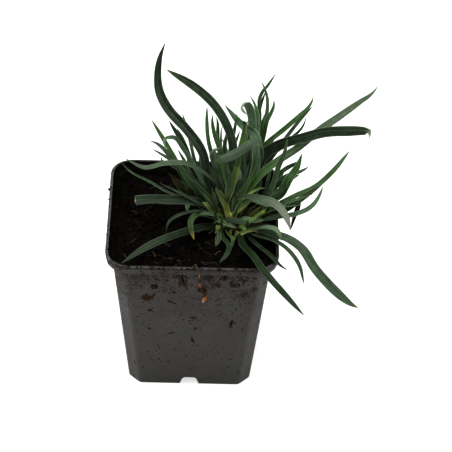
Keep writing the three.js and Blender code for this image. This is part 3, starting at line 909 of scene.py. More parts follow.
face = blend(tree, underside, takes["Upper"], takes["Underside"])
bloom_share = times(tree, spread(tree, patches, 0.35, 0.7), takes["Bloom"])
bloomed = blend(tree, bloom_share, face, paint("748670"))
base_share = maths(tree, "DIVIDE", place[1], takes["Base length"])
base_share = maths(tree, "ADD", base_share, spread(tree, long_patches, 0, 1, -0.3, 0.3))
based = blend(tree, spread(tree, base_share, 0.15, 1.1, 1.0, 0.0), bloomed, takes["Base"])
from_tip = maths(tree, "SUBTRACT", 1.0, along)
from_tip = maths(tree, "ADD", from_tip, spread(tree, patches, 0, 1, -0.02, 0.02))
tip_share = maths(tree, "DIVIDE", from_tip, takes["Tip share"])
tipped = blend(tree, spread(tree, tip_share, 0.3, 1.2, 1.0, 0.0), based, takes["Tip"])
edged = blend(tree, times(tree, edge, 0.55), tipped, paint("95a588"))
ribbed = blend(tree, times(tree, midrib, 0.25), edged, paint("7c8f6e"))
# tone scales the leaf's brightness; in the named leaves it is partly painted light and painted shade.
light = times(tree, spread(tree, veins, 0.3, 0.7, 0.74, 1.22), tone)
light = times(tree, light, spread(tree, long_patches, 0.3, 0.7, 0.8, 1.16))
# Foot light darkens the lower part of a leaf: partly its thinner bloom there, partly painted shade from the
# crown and the leaves round it.
foot_light = spread(tree, along, 0.2, 0.65, takes["Foot light"], 1.0)
light = times(tree, light, foot_light)
shade = add(tree, "CombineColor", _0=light, _1=light, _2=light).outputs[0]
tree.links.new(blend(tree, 1.0, ribbed, shade, "MULTIPLY"), gives["Colour"])
tree.links.new(spread(tree, patches, 0.3, 0.7, 0.42, 0.58), gives["Roughness"])
tree.links.new(maths(tree, "ADD", veins, midrib), gives["Height"])


def leaf_finish(
    name, upper, underside, base, *, tip="5b6b4a", base_mm=9.0, tip_share=0.05, bloom=0.4, foot=0.8
):
    """A leaf material with its own colours."""
    material, tree, shader = new_material(name, Specular_IOR_Level=0.18)
    hues = {"Upper": paint(upper), "Underside": paint(underside), "Base": paint(base), "Tip": paint(tip)}
    amounts = {"Base_length": base_mm, "Tip_share": tip_share, "Bloom": bloom, "Foot_light": foot}
    colours = use_group(tree, blade_colours, **hues, **amounts)
    wire(tree, shader, colours["Colour"], colours["Roughness"], colours["Height"], 0.00005, 0.6)
    return material


LEAF_COLOURS = {  # upper face, underside, base, and what else differs
    "dark": ("2b3c28", "485944", "3f5230", {"bloom": 0.2}),
    "grey": ("374b36", "586b53", "4c6038", {"bloom": 0.3}),
    "mid": ("374d32", "586d4f", "587038", {"bloom": 0.25}),
    "bright": ("476b34", "60834e", "6a8c3c", {"base_mm": 22, "bloom": 0.15}),
    "green": ("34512a", "547144", "5c7a36", {"base_mm": 12, "bloom": 0.15}),
    "pale": ("5b6f53", "778b6e", "5a6e42", {"bloom": 0.35, "foot": 0.5}),
    "chalky": ("5f7356", "768b6a", "587040", {"foot": 0.45}),
    "frosty": ("5d755b", "738e71", "587040", {"bloom": 0.35, "foot": 0.45}),
    "curl": ("496248", "6f886e", "5c7440", {"tip": "808878", "tip_share": 0.2, "bloom": 0.35}),
    "blue": ("496248", "6f886e", "5c7440", {"bloom": 0.35}),
    "hooked": ("2b3c28", "485944", "3f5230", {"tip": "939d8c", "tip_share": 0.07, "bloom": 0.2}),
    "two_tone": ("4e5b48", "6d7565", "547c36", {"base_mm": 60, "bloom": 0.25}),
    "shaded": ("374d32", "586d4f", "28391b", {"base_mm": 46, "bloom": 0.25}),
    "olive": ("4e6a2a", "5f7a3c", "7e8c40", {"base_mm": 30, "bloom": 0.1}),
    "cut": ("394c38", "61765b", "4c6038", {"tip": "d8d0b0", "tip_share": 0.012, "bloom": 0.2}),
    "yellow_tip": ("456a2c", "5c8040", "6a8838", {"tip": "c4b85e", "tip_share": 0.16}),
    "base": ("4f6238", "4f6238", "9ca45a", {"base_mm": 18, "bloom": 0.1, "foot": 1.1}),
    "ribbon": (
        "4f6048", "6b7b5e", "4c623a", {"tip": "99a08e", "tip_share": 0.42, "bloom": 0.5, "foot": 0.55},
    ),
    "young": ("567e3a", "6b9151", "94a850", {"base_mm": 14, "bloom": 0.1}),
    "yellow": ("8f9a50", "9ca65c", "b6b868", {"base_mm": 10, "bloom": 0.1}),
    # old: near-black, partly a dry leaf's own colour, partly painted shade
    "old": ("2b2829", "3c3838", "4a4430", {"tip": "221c1e", "base_mm": 8, "bloom": 0.08}),
    "withered": ("6b5a3a", "7d6d4a", "5a4a30", {"tip": "4a3c28", "bloom": 0.08}),
}
LEAF_FINISHES = {}
for name, (upper, underside, base, more) in LEAF_COLOURS.items():
    LEAF_FINISHES[name] = leaf_finish(f"leaf_{name}", upper, underside, base, **more)
print("leaf finishes", sorted(LEAF_FINISHES))

# %% [markdown]
# ## Shoots
# A dozen short shoots rise from one woody crown. A shoot is a thin stem with swollen joints, each
# joint bearing leaves. Their lines are the CAD ones: from a ring on the crown up to each tip.

# %% Lines of the shoots
CROWN = Vector((22, 1, 87)) * MM
SHOOT_RING = 4.5 * MM
SHOOT_RADIUS = 1.4 * MM
SHOOT_TAPER = 0.7
SHOOT_BOW = 1.2 * MM
SHOOT_STEPS = 24
CURVE_STEPS = 24
SHOOTS = {
    "a": (160, (17, 4, 99)),
    "b": (255, (21, -3, 96)),
    "c": (190, (10, 2, 95)),
    "d": (300, (27, -11, 93)),
    "e": (225, (13, -9, 91)),
    "f": (340, (40, -2, 98)),
    "g": (20, (43, 7, 98)),
    "h": (140, (1, 13, 98)),
    "i": (110, (13, 19, 98)),
    "j": (85, (22, 21, 102)),
    "k": (50, (33, 19, 101)),
    "l": (68, (31, 29, 106)),
}


def smooth_line(points, count):
    """count + 1 points evenly spaced along a smooth curve through some points."""
    ends = [2 * points[0] - points[1], *points, 2 * points[-1] - points[-2]]
    fine = []
    for i in range(1, len(ends) - 2):
        a, b, c, d = ends[i - 1 : i + 3]
        for step in range(CURVE_STEPS):
            t = step / CURVE_STEPS
            square, cube = (2 * a - 5 * b + 4 * c - d) * t**2, (3 * b - a - 3 * c + d) * t**3
            fine.append(0.5 * (2 * b + (c - a) * t + square + cube))
    fine.append(points[-1].copy())
    return evenly(fine, count)


def evenly(fine, count):
    """count + 1 points evenly spaced along a fine chain of points."""
    run_to = [0.0]
    for a, b in zip(fine, fine[1:]):
        run_to.append(run_to[-1] + (b - a).length)
    spaced = []
    for i in range(count + 1):
        want = run_to[-1] * i / count
        k = min(max(bisect.bisect_right(run_to, want) - 1, 0), len(fine) - 2)
        gap = run_to[k + 1] - run_to[k]
        spaced.append(fine[k].lerp(fine[k + 1], (want - run_to[k]) / gap if gap else 0))
    return spaced


def shoot_line(letter):
    """The line of a shoot, from inside the crown to its tip."""
    around, tip = SHOOTS[letter]
    turn = math.radians(around)
    foot = Vector((CROWN.x, CROWN.y, CROWN.z - 2 * MM))
    foot += Vector((math.cos(turn), math.sin(turn), 0)) * SHOOT_RING
    end = Vector(tip) * MM
    return smooth_line([foot, foot.lerp(end, 0.4) + Vector((0, 0, SHOOT_BOW)), end], SHOOT_STEPS)


SHOOT_LINES = {letter: shoot_line(letter) for letter in SHOOTS}
print("lengths", {letter: round(chain_length(line) / MM) for letter, line in SHOOT_LINES.items()})

# %% [markdown]
# ## One straight leaf
# All leaves share one build, so a straight blank is modelled once: a flat-ended rod, cut across many
# times, with its two ends drawn to a point. It is one unit long and two wide. A copy is then laid
# along each leaf's line, where it gets its width, its channel and its curl. Laying it by code, rather
# than with a Curve modifier, keeps the upper face exactly where the CAD leaf has it.

# %% Leaf blanks
LEAF_SIDES = 16


def rod(name, sides, rings):
    """A rod along +Y from 0 to 1 with a radius of 1, cut into rings. It is left in edit mode."""
    clear()
    bpy.ops.mesh.primitive_cylinder_add(
        vertices=sides, radius=1, depth=1, location=(0, 0.5, 0), rotation=(math.radians(-90), 0, 0)
    )
    made = named(name)
    mode("EDIT")
    pick("EDGE", lambda e: 0.3 < middle(e).y < 0.7)
    bpy.ops.mesh.subdivide(number_cuts=rings - 1)
    return made


def leaf_blank(name, rings):
    """A rod with both ends closed to a point."""
    blank = rod(name, LEAF_SIDES, rings)
    for end in (0, 1):
        pick("VERT", lambda v: abs(v.co.y - end) < 1e-4)
        bpy.ops.mesh.merge(type="CENTER")
    mode("OBJECT")
    bpy.ops.object.shade_smooth()
    return blank


LONG_BLANK = leaf_blank("leaf_blank_long", 60)
SHORT_BLANK = leaf_blank("leaf_blank_short", 26)
print("points of the blanks", [len(blank.data.vertices) for blank in (LONG_BLANK, SHORT_BLANK)])

# %% Reading a CAD leaf
CAD_CHANNEL = 0.16


def ring_pairs(ring):
    """The two pairs of opposite corners of a four-cornered ring."""
    first = ring[0]
    beside = {e.other_vert(first) for e in first.link_edges}
    facing = next((v for v in ring[1:] if v not in beside), ring[2])
    others = [v for v in ring[1:] if v is not facing]
    return [(first.co, facing.co), (others[0].co, others[1].co)]


def read_leaf(node):
    """Middle, sideways direction and half width of each ring of a CAD leaf, from its base to its tip."""
    shape = bmesh.new()
    shape.from_mesh(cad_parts[node].data)
    bmesh.ops.remove_doubles(shape, verts=shape.verts, dist=0.03 * MM)
    shape.verts.index_update()
    ends = [v for v in shape.verts if len(v.link_edges) == 4]
    base = min(ends, key=lambda v: (v.co - CROWN).length)
    rings, seen = [[base]], {base}
    while True:
        ring = {e.other_vert(v) for v in rings[-1] for e in v.link_edges} - seen
        if not ring:
            break
        seen |= ring
        rings.append(sorted(ring, key=lambda v: v.index))
    full = [i for i, ring in enumerate(rings) if len(ring) == 4]
    pairs = {i: ring_pairs(rings[i]) for i in full}
    widest = max(full, key=lambda i: max((a - b).length for a, b in pairs[i]))
    centres, sides, halves = {}, {}, {}
    rough = [sum((v.co for v in ring), Vector()) / len(ring) for ring in rings]

    def settle(i, side_before):
        options = sorted(pairs[i], key=lambda p: -(p[0] - p[1]).length)
        if side_before is not None:
            options.sort(key=lambda p: -abs((p[0] - p[1]).normalized().dot(side_before)))
        (a, b), (c, d) = options
        side = (b - a).normalized()
        ahead = (rough[min(i + 1, len(rough) - 1)] - rough[i - 1]).normalized()
        lifted = (a + b) / 2 - (c + d) / 2
        if side_before is None:
            if side.cross(ahead).dot(lifted) < 0:
                side = -side
        elif side.dot(side_before) < 0:
            side = -side
        halves[i] = (b - a).length / 2
        sides[i] = side
        centres[i] = (a + b) / 2 - side.cross(ahead).normalized() * CAD_CHANNEL * halves[i]

    settle(widest, None)
    for i in range(widest + 1, full[-1] + 1):
        settle(i, sides[i - 1])
    for i in range(widest - 1, full[0] - 1, -1):
        settle(i, sides[i + 1])
    tip = rings[-1][0].co.copy() if len(rings[-1]) == 1 else None
    line = [base.co.copy()] + [centres[i] for i in full]
    across = [sides[full[0]]] + [sides[i] for i in full]
    if tip is not None and (tip - line[-1]).length > 0.3 * MM:
        line.append(tip)
        across.append(sides[full[-1]])
    shape.free()
    return line, across, max(halves.values())


# %% [markdown]
# ## Laying a leaf
# At its foot a leaf clasps its shoot as a half tube; further out it opens into a shallow channel with
# a keel below; then it narrows to a point. Small changes of width keep it from looking machined.

# %% Laying a leaf
CLASP = 7 * MM  # length over which a foot opens into the blade


def ease(t):
    """0 to 1 with a soft start and end."""
    t = min(1, max(0, t))
    return t * t * (3 - 2 * t)


def leaf_width(t, base, taper, point, blunt, neck):
    """Share of the full width at 0 (foot) to 1 (tip)."""
    foot = base + (1 - base) * ease(t / neck)
    if blunt:
        return foot
    return foot * max(0, 1 - max(0, (t - (1 - taper)) / taper) ** point)


def sideways_at(across, t):
    """The direction across a leaf at 0 to 1."""
    at = t * (len(across) - 1)
    i = min(int(at), len(across) - 2)
    return across[i].lerp(across[i + 1], at - i).normalized()


def lay_leaf(
    blank, name, line, across, half, *, seed, thick=0.38, wrap=0.0, base=0.55, taper=0.5, blunt=False,
    channel=0.6, tone=1.0, point=3.0, neck=0.26,
):
    """Copies a blank along a line. wrap is how far its foot closes round the shoot, in radians.

    channel is how far the blade itself closes, base and neck are the width and length of the foot.
    """
    rings = (len(blank.data.vertices) - 2) // LEAF_SIDES + 1
    places = evenly(line_through(line), rings)
    leaf = twin(blank, name)
    mesh = leaf.data
    length = chain_length(places)
    blade = mesh.attributes.new("blade", "FLOAT_COLOR", "POINT")
    run = mesh.attributes.new("run", "FLOAT_VECTOR", "POINT")
    for vertex in mesh.vertices:
        x, t, z = vertex.co
        ring = round(t * rings)
        centre = places[ring]
        ahead = (places[min(ring + 1, rings)] - places[max(ring - 1, 0)]).normalized()
        side = sideways_at(across, t)
        side = (side - ahead * side.dot(ahead)).normalized()
        face = side.cross(ahead)
        share = leaf_width(t, base, taper, point, blunt, neck)
        drift = 1 + 0.06 * noise.noise(Vector((seed, t * length / MM * 0.12, 0)))
        reach = half * share * drift
        open_by = channel * (1 - 0.5 * ease((t - 0.5) / 0.5)) + wrap * (1 - ease(t * length / CLASP))
        bow = reach / open_by
        turn = x * open_by
        out = math.sin(turn) * bow
        rise = (1 - math.cos(turn)) * bow - 0.3 * (1 - math.cos(open_by)) * bow
        crease = -0.10 * reach * max(0, 1 - abs(x) * 2.5) * (1 if z > 0 else 1.8)
        body = thick * MM * math.sqrt(share) * (1 - 0.25 * ease(t)) * z
        if ring == 0 or (ring == rings and not blunt):
            out = rise = crease = body = 0
        tilt = face * math.cos(turn) - side * math.sin(turn)
        vertex.co = centre + side * out + face * (rise + crease) + tilt * body
        blade.data[vertex.index].color = (t, x / 2 + 0.5, float(z < -0.02), tone)
        run.data[vertex.index].vector = (x * reach / MM, t * length / MM, seed * 7.3)
    mesh.update()
    return leaf


def line_through(points):
    """A fine smooth chain through some points."""
    return smooth_line(points, 12 * len(points))


def clasping(line, across, letter):
    """The same line with its foot drawn down onto its shoot, and the directions across it."""
    axis = SHOOT_LINES[letter]
    near = min(range(1, len(axis) - 1), key=lambda i: (axis[i] - line[0]).length)
    up = (axis[near + 1] - axis[near - 1]).normalized()
    out = line[0] - axis[near]
    out = (out - up * out.dot(up)).normalized()
    girth = SHOOT_RADIUS * (1 + (SHOOT_TAPER - 1) * near / (len(axis) - 1))
    low = axis[near] - up * 2.6 * MM + out * girth
    high = axis[near] + out * (girth + 0.15 * MM)
    facing = up.cross(-out)
    return [low, high, *line[1:]], [facing, facing, *across[1:]]


# %% [markdown]
# Each named leaf follows its CAD leaf. Tables say what differs: the finish and its tone, a narrower or
# longer foot, a face turned towards the camera, a blunter or longer point, and another width. The CAD
# leaves are slim, so every leaf that isn't in the table of widths is made a little wider.

# %% Leaves of the CAD model
CAMERA_SIDE = Vector((0, -0.77, 0.64))


def faces_along(line, facing):
    """The direction across a leaf at each point of its line, with its upper face towards facing."""
    across = []
    for i in range(len(line)):
        ahead = (line[min(i + 1, len(line) - 1)] - line[max(i - 1, 0)]).normalized()
        across.append(ahead.cross(facing).normalized())
    return across


# tone is a brightness factor per leaf. Besides each leaf's own lighter or darker green it holds painted
# light and shade: leaves at the back, behind others, are raised as far as 1.75, and some in the middle and
# at the front are lowered to about 0.4.
LEAVES = {  # finish, tone
    "a1": ("pale", 0.68), "a2": ("ribbon", 0.68), "a3": ("two_tone", 0.96), "a4": ("dark", 0.75),
    "a5": ("blue", 1.2), "a6": ("dark", 0.93), "a7": ("pale", 1.2),
    "b1": ("pale", 1.3), "b2": ("green", 1.75),
    "c1": ("mid", 0.47), "c2": ("yellow_tip", 0.52), "c3": ("mid", 0.81), "c4": ("cut", 0.54),
    "d1": ("mid", 0.4), "d2": ("green", 0.4), "d3": ("mid", 0.7), "d4": ("blue", 0.62),
    "d5": ("chalky", 0.9),
    "e1": ("shaded", 0.48), "e2": ("green", 0.5), "e3": ("mid", 0.71), "e4": ("mid", 0.45),
    "f1": ("blue", 0.95), "f2": ("green", 0.5), "f3": ("green", 1.25), "f4": ("green", 0.75),
    # g1, an old dry leaf hanging at the back right, is near-black: partly its own colour, partly painted
    # shade.
    "g1": ("old", 0.85), "g2": ("dark", 0.47), "g3": ("green", 1.5), "g4": ("mid", 1.3),
    "g5": ("mid", 1.3),
    "h1": ("blue", 0.86), "h2": ("dark", 1.75), "h3": ("blue", 1.6), "h4": ("green", 1.02),
    "h5": ("dark", 0.81), "h6": ("mid", 1.48),
    "i1": ("green", 1.74), "i2": ("pale", 0.99), "i3": ("green", 1.75), "i4": ("green", 1.75),
    "j1": ("mid", 1.75), "j2": ("curl", 1.47), "j3": ("young", 0.75), "j4": ("green", 1.75),
    "k1": ("dark", 0.94), "k2": ("hooked", 1.2), "k3": ("frosty", 0.42), "k4": ("green", 1.71),
    "k5": ("green", 1.75),
    "l1": ("green", 1.0), "l2": ("mid", 1.75), "l3": ("green", 1.75), "l4": ("mid", 1.75),
    "l5": ("green", 0.48),
}

PLAIN_NECK = (0.55, 0.26)
NECKS = {"a2": (0.25, 0.75), "a1": (0.32, 0.75), "k3": (0.4, 0.6), "d5": (0.5, 0.5)}  # width, length
TURNED = {"a6": 0.6, "a4": 0.4, "a5": 0.6, "g1": 0.3, "c4": 0.0, "g3": 0.7, "f2": 0.4}
BLUNT_POINT, FINE_POINT = 4.2, 3.0
BLUNTER = ("a4", "a6", "k2", "d4", "d2", "h2", "h4", "l2", "k5", "k1", "f3")
WIDER = {
    "a6": 1.25, "a4": 1.25, "g1": 0.95, "k2": 1.15, "k3": 1.15, "a2": 1.2, "d5": 1.15, "a5": 1.3, "a1": 0.92,
    "c3": 0.8, "c4": 1.0, "e1": 0.96, "f2": 1.15, "g3": 1.15, "h3": 0.95, "c1": 1.05,
}
TAPER = {
    "g3": 0.75, "a2": 0.35, "a6": 0.42, "k2": 0.25, "a3": 0.4, "d4": 0.35, "e1": 0.5, "a4": 0.6, "k3": 0.2,
    "j2": 0.12,
}
LONG_LEAF = 26 * MM
THIN_HALF = 1.5 * MM

for count, (code, (finish, tone)) in enumerate(LEAVES.items()):
    node, letter = f"leaf_{code}", code[0]
    line, across, half = read_leaf(node)
    thin = half < THIN_HALF
    turned = TURNED.get(code, 0.4 if thin and letter in "fghijkl" else 0)
    if turned:
        seen = faces_along(line, CAMERA_SIDE)
        across = [a.lerp(b if a.dot(b) > 0 else -b, turned) for a, b in zip(across, seen)]
    line, across = clasping(line, across, letter)
    long = chain_length(line) > LONG_LEAF
    least = half + (0.42 if letter in "hijl" else 0.3) * MM
    base, neck = NECKS.get(code, PLAIN_NECK)
    leaf = lay_leaf(
        LONG_BLANK if long else SHORT_BLANK, f"blade_{code}", line, across,
        half * WIDER[code] if code in WIDER else max(half * 1.12, least),
        taper=TAPER.get(code, 0.5), base=base, neck=neck, seed=count,
        point=BLUNT_POINT if thin or code in BLUNTER else FINE_POINT,
        wrap=1.5 if long else 1.0, blunt=code == "c4", tone=tone,
    )
    belongs(leaf, "leaf_dry" if code == "g1" else "leaf", LEAF_FINISHES[finish], node)
print("leaves", len(LEAVES))

# %% [markdown]
# ## Small leaves
# Between the named leaves stand many narrow ones: leaves of the young tufts, the partners of the
# larger leaves, and a few olive, yellow or withered ones. Each is a copy of the same blank, laid along
# a short line of points in millimetres, from its foot in the plant to its tip.

# %% Laying a small leaf
LONG_SMALL_LEAF = 40 * MM


def small_leaf(name, width, finish, points, tone=1.0, facing=None, seed=0, **shape):
    """A leaf laid along a few points in millimetres."""
    line = [Vector(p) * MM for p in points]
    facing = Vector(facing).normalized() if facing else Vector((0, -0.25, 1)).normalized()
    blank = LONG_BLANK if chain_length(line) > LONG_SMALL_LEAF else SHORT_BLANK
    leaf = lay_leaf(
        blank, name, line, faces_along(line, facing), width / 2 * MM, seed=seed + 100, tone=tone,
        thick=0.3 if width > 1.5 else 0.22, **shape
    )
    belongs(leaf, "leaf_dry" if finish in ("withered", "yellow") else "leaf", LEAF_FINISHES[finish])


# %% Named small leaves
SMALL_LEAVES = [  # width, finish, tone, points from the foot to the tip
    (2.2, "blue", 1.0,
     [(2, 14, 99), (1, 16, 103), (-2, 20, 113), (-6, 24, 123), (-8, 25, 127), (-10, 26, 130)]),
    (1.6, "mid", 0.9, [(-1, 14, 99), (-7, 16, 108), (-14, 18, 112), (-17, 19, 113), (-18, 20, 116)]),
    (2.6, "mid", 1.0, [(14, -4, 92), (12, -5, 96), (7, -6, 98), (3, -8, 99)]),
    (1.8, "mid", 0.9,
     [(33, 20, 100), (39, 27, 109), (46, 29, 118), (53, 31, 123), (57, 32, 128), (59, 34, 134)]),
    (1.7, "green", 1.0, [(17, -9, 90), (19, -13, 90), (21, -16, 90), (21, -19, 88), (20, -21, 86.5)]),
    (1.5, "chalky", 1.0, [(14, 20, 98), (15, 26, 106), (14, 32, 114), (14, 35, 122), (15, 36, 125)]),
    (2.2, "green", 0.9, [(16, 20, 98), (19, 25, 106), (19, 30, 113), (19, 34, 120)]),
    (2.0, "chalky", 0.9,
     [(28, 19, 108), (29, 20, 121), (27, 22, 129), (27, 24, 135), (29, 24, 138), (31, 23, 138)]),
    (1.6, "green", 0.9, [(31, 27, 106), (34, 32, 118), (37, 37, 128), (38, 40, 134), (39, 42, 140)]),
    (2.4, "bright", 0.9, [(30, 24, 100), (31, 26, 106), (33, 30, 113), (34, 33, 120), (37, 37, 133)]),
    (2.0, "green", 0.95, [(20, 20, 99), (20, 24, 107), (20, 27, 115), (22, 30, 119), (24, 33, 124)]),
    (5.0, "young", 0.7,
     [(19, 9, 91.5), (19, 12, 96.5), (21, 15, 104.5), (23, 19, 111.5), (24, 22, 119), (26, 24, 125)]),
    (2.4, "green", 0.9, [(19, 5, 93), (19, 7, 96.4), (16, 12, 105.4), (13, 16, 111.4), (9, 19, 116.4)]),
    (2.2, "bright", 0.7, [(20, 5, 94), (20, 7, 98.4), (17, 11, 105.4), (15, 15, 112.4), (13, 19, 116.4)]),
    (2.2, "green", 0.85, [(20, 5, 91.5), (19, 7, 96), (14, 11, 103), (10, 14, 110), (7, 17, 114)]),
    (2.0, "bright", 0.9, [(5, 8, 90), (2, 9, 93), (-1, 10, 97), (-6, 13, 106), (-10, 15, 113)]),
    (3.8, "mid", 0.85, [(9, 6, 92), (6, 7, 95), (2, 9, 100), (-3, 11, 107), (-7, 14, 112)]),
    (2.6, "withered", 0.42, [(5, 7, 90), (2, 8, 93), (-2, 10, 99), (-8, 12, 104), (-14, 13, 110)]),
    (1.8, "yellow", 0.5, [(2, 9, 91), (-2, 10, 94), (-6, 11, 98), (-9, 12, 102), (-12, 13, 106)]),
    (3.6, "olive", 0.8,
     [(18, 0, 100), (18.6, 0, 105.4), (19.8, 2, 108.5), (21, 4, 113), (22.2, 6, 118.2), (24, 11, 126)]),
    (2.2, "green", 0.75, [(17, 0, 102), (17.6, 0, 105.4), (18, 2, 110.4), (17, 4, 115.5), (15.6, 6, 121.5)]),
    (2.0, "mid", 0.8, [(18, 0, 102), (18.9, 0, 105.8), (19, 2, 110.9), (18.9, 4, 115.9), (17.6, 6, 121)]),
    (1.9, "young", 0.7, [(25, 1, 101), (28, 2, 104), (32, 4, 106), (35, 5, 107), (38, 5, 107)]),
    (1.8, "pale", 0.9,
     [(24, -1, 98), (26, -2, 102), (31, -3, 105), (34, -6, 106), (40, -7, 105), (43, -6, 106)]),
    (2.6, "mid", 0.9, [(2, 4, 96), (-1, 3, 98), (-3, -1, 99), (-3, -4, 97)]),
    (2.4, "mid", 1.05, [(11, -8, 93), (13, -9, 96), (18, -12, 96), (23, -15, 96)]),
]
for count, (width, finish, tone, points) in enumerate(SMALL_LEAVES):
    small_leaf(f"small_blade_{count + 1:02d}", width, finish, points, tone, seed=count)
print("small leaves", len(SMALL_LEAVES))

# %% [markdown]
# Four short broad leaf bases clasp the front shoots. They are pale yellow-green where they grew
# inside the tuft, and each runs out along the leaf above it.

# %% Clasping leaf bases
LEAF_BASES = [  # width, tone, points
    (4.4, 1.35, [(19.6, 1.5, 88), (18.9, 0, 91.1), (18.1, 1, 94.3), (17.2, 1.5, 98), (15.8, 2.5, 100.8),
                 (13.9, 3.5, 103.7), (11.2, 5, 106.8)]),
    (3.4, 1.0, [(22, -4, 91), (21.5, -5, 94.6), (21.7, -5, 97.3), (23.5, -4.5, 99.7), (26.5, -4, 102.8),
                (30.6, -3, 105.5)]),
    (3.2, 1.0, [(13, 0.5, 88.5), (11.6, 0, 91.6), (10.2, -0.5, 94.7), (8.8, -0.5, 97.3), (7.2, 0, 99.2),
                (4.5, 1, 100)]),
    (3.0, 0.95, [(23.5, -9, 88.5), (24.8, -12.5, 90), (26.8, -13, 91.9), (29.3, -13.8, 94),
                 (31.9, -14.5, 95), (34.5, -15.3, 95.5)]),
]
for letter, (width, tone, points) in zip("abcd", LEAF_BASES):
    small_leaf(
        f"leaf_base_{letter}", width, "base", points, tone, (0, -1, 0.5), seed=len(points),
        base=0.75, wrap=0.6, channel=1.2,
    )
print("leaf bases", len(LEAF_BASES))

# %% [markdown]
# Every shoot ends in a tuft of young leaves, and older leaves stand between the named ones. A seeded
# draw gives each its direction, length and width. Young leaves stand almost along the shoot; outer
# ones lean out, away from the middle of the plant, and bend over a little.

# %% Tufts
TUFT_FINISHES = ("mid", "green", "mid", "dark", "grey", "green", "bright", "young")
TUFT_LEAVES = 7
LEFT_OUT = {  # numbers, by shoot, of leaves that would hide the sheaths or stand out of their tuft
    "a": (5, 6), "b": (2, 3, 4, 7), "c": (3, 6), "d": (4, 5, 6), "e": (2, 3, 5, 6, 7), "f": (3, 4),
    "g": (3, 4), "h": (7,),
}
YOUNG = 0.6
BACK_EDGE = 37 * MM


def tuft_leaf(dice, letter, number):
    """A young or outer leaf on a shoot. The first ones of a shoot are the youngest."""
    axis = SHOOT_LINES[letter]
    youth = 1 - number / TUFT_LEAVES
    at = axis[round((0.5 + 0.45 * youth) * (len(axis) - 1))]
    tip = axis[-1]
    along = (tip - axis[-5]).normalized()
    away = Vector((tip.x - CROWN.x, tip.y - CROWN.y, 0)) / (25 * MM)
    turn = dice.uniform(0, 2 * math.pi)
    lean = Vector((math.cos(turn), math.sin(turn), 0)) + 0.5 * away
    if lean.y < -0.1:
        lean *= 0.6
    open_by = 0.15 + 0.75 * (1 - youth) + dice.uniform(0, 0.15)
    length = (14 + 20 * (1 - youth) * dice.uniform(0.55, 1.2)) * MM
    start = at + lean.normalized() * SHOOT_RADIUS * 0.7
    rise = Vector((0, 0, 1)) * 0.8 + along * 0.5
    heading = (rise + lean * open_by).normalized()
    sag = dice.uniform(-0.02, 0.28) * (1 - youth)
    bend = lean * 0.25 * open_by - Vector((0, 0, sag))
    points = [start + heading * length * t + bend * length * t * t for t in shares(5)]
    for p in points:
        p.y -= 0.75 * max(0, p.y - BACK_EDGE)
    width = dice.uniform(1.5, 2.3) + 1.6 * (1 - youth) * dice.random()
    finish = dice.choice(TUFT_FINISHES[3 if youth > YOUNG else 0 :])
    tone, seed = dice.uniform(0.75, 1.05), dice.random() * 50
    if number + 1 not in LEFT_OUT.get(letter, ()):
        facing = -lean * 0.7 + Vector((0, 0, 0.5))
        small_leaf(
            f"tuft_{letter}_{number + 1:02d}", width, finish, [p / MM for p in points],
            tone, facing, seed=seed, wrap=0.9, base=0.7, taper=0.7,
        )


dice = random.Random(21)
for letter in SHOOTS:
    for number in range(TUFT_LEAVES):
        tuft_leaf(dice, letter, number)
print("tuft leaves", TUFT_LEAVES * len(SHOOTS) - sum(len(v) for v in LEFT_OUT.values()))

# %% [markdown]
# ## Crown and shoots
# The woody crown is a knobbly brown lump at the soil with the shoots leaving it in a ring. Each shoot
# is a thin rod, swollen at its joints, brown at its foot and yellow-green towards its tip. The blanks
# are a ball and a rod; the joints are swollen where the rod's own length says so.

# %% Crown
CROWN_HALF = 6.2 * MM
CROWN_RISE = 4.2 * MM
CROWN_SUNK = 2.6 * MM
WOODY_FOOT = (0.087, 0.0925)  # heights between which brown turns to green
WAVES = 0.0035

clear()
bpy.ops.mesh.primitive_uv_sphere_add(segments=32, ring_count=20, radius=1)
crown = named("crown_wood")
for vertex in crown.data.vertices:
    knobs = noise.fractal(vertex.co * 2.4 + Vector((4, 0, 0)), 0.6, 2.0, 3)
    reach = 1 + 0.16 * knobs + 0.07 * noise.noise(vertex.co * 9)
    flat = vertex.co.xy * CROWN_HALF * reach
    height = CROWN.z - CROWN_SUNK + vertex.co.z * CROWN_RISE * reach
    vertex.co = Vector((CROWN.x + flat.x, CROWN.y + flat.y, height))
smooth(crown)


def woody(tree, at):
    """The brown mottling of the crown and of the feet of the shoots."""
    return use_group(tree, mottle, Vector=at, Scale=520.0, Light=paint("4a3c22"), Dark=paint("241a10"))


def stem_colour(tree, at, skin):
    """Brown up to a wavy line a few millimetres above the crown, green above it."""
    height = add(tree, "SeparateXYZ", Vector=at).outputs[2]
    ripple = spread(tree, grain(tree, at, 160.0, 3.0), 0.2, 0.8, -WAVES, WAVES)
    low = spread(tree, maths(tree, "ADD", height, ripple), *WOODY_FOOT, 1.0, 0.0)
    return blend(tree, low, skin["Colour"], woody(tree, at)["Colour"])


stem_finish = mottled_finish(
    "shoot_skin", 0.3, 300.0, "7d8a45", "5d7038", (0.5, 0.65), (0.0002, 0.6), stem_colour,
    lambda tree, at, skin: woody(tree, at)["Mask"],
)
belongs(crown, "shoots", stem_finish, "crown_with_shoots")

# %% Shoots
STEM_RINGS = 36
JOINT_STEP = 3.6 * MM
stem_blank = rod("stem_blank", 12, STEM_RINGS)
pick("FACE", lambda f: len(f.verts) > 4)
bpy.ops.mesh.inset(thickness=0.4)
mode("OBJECT")


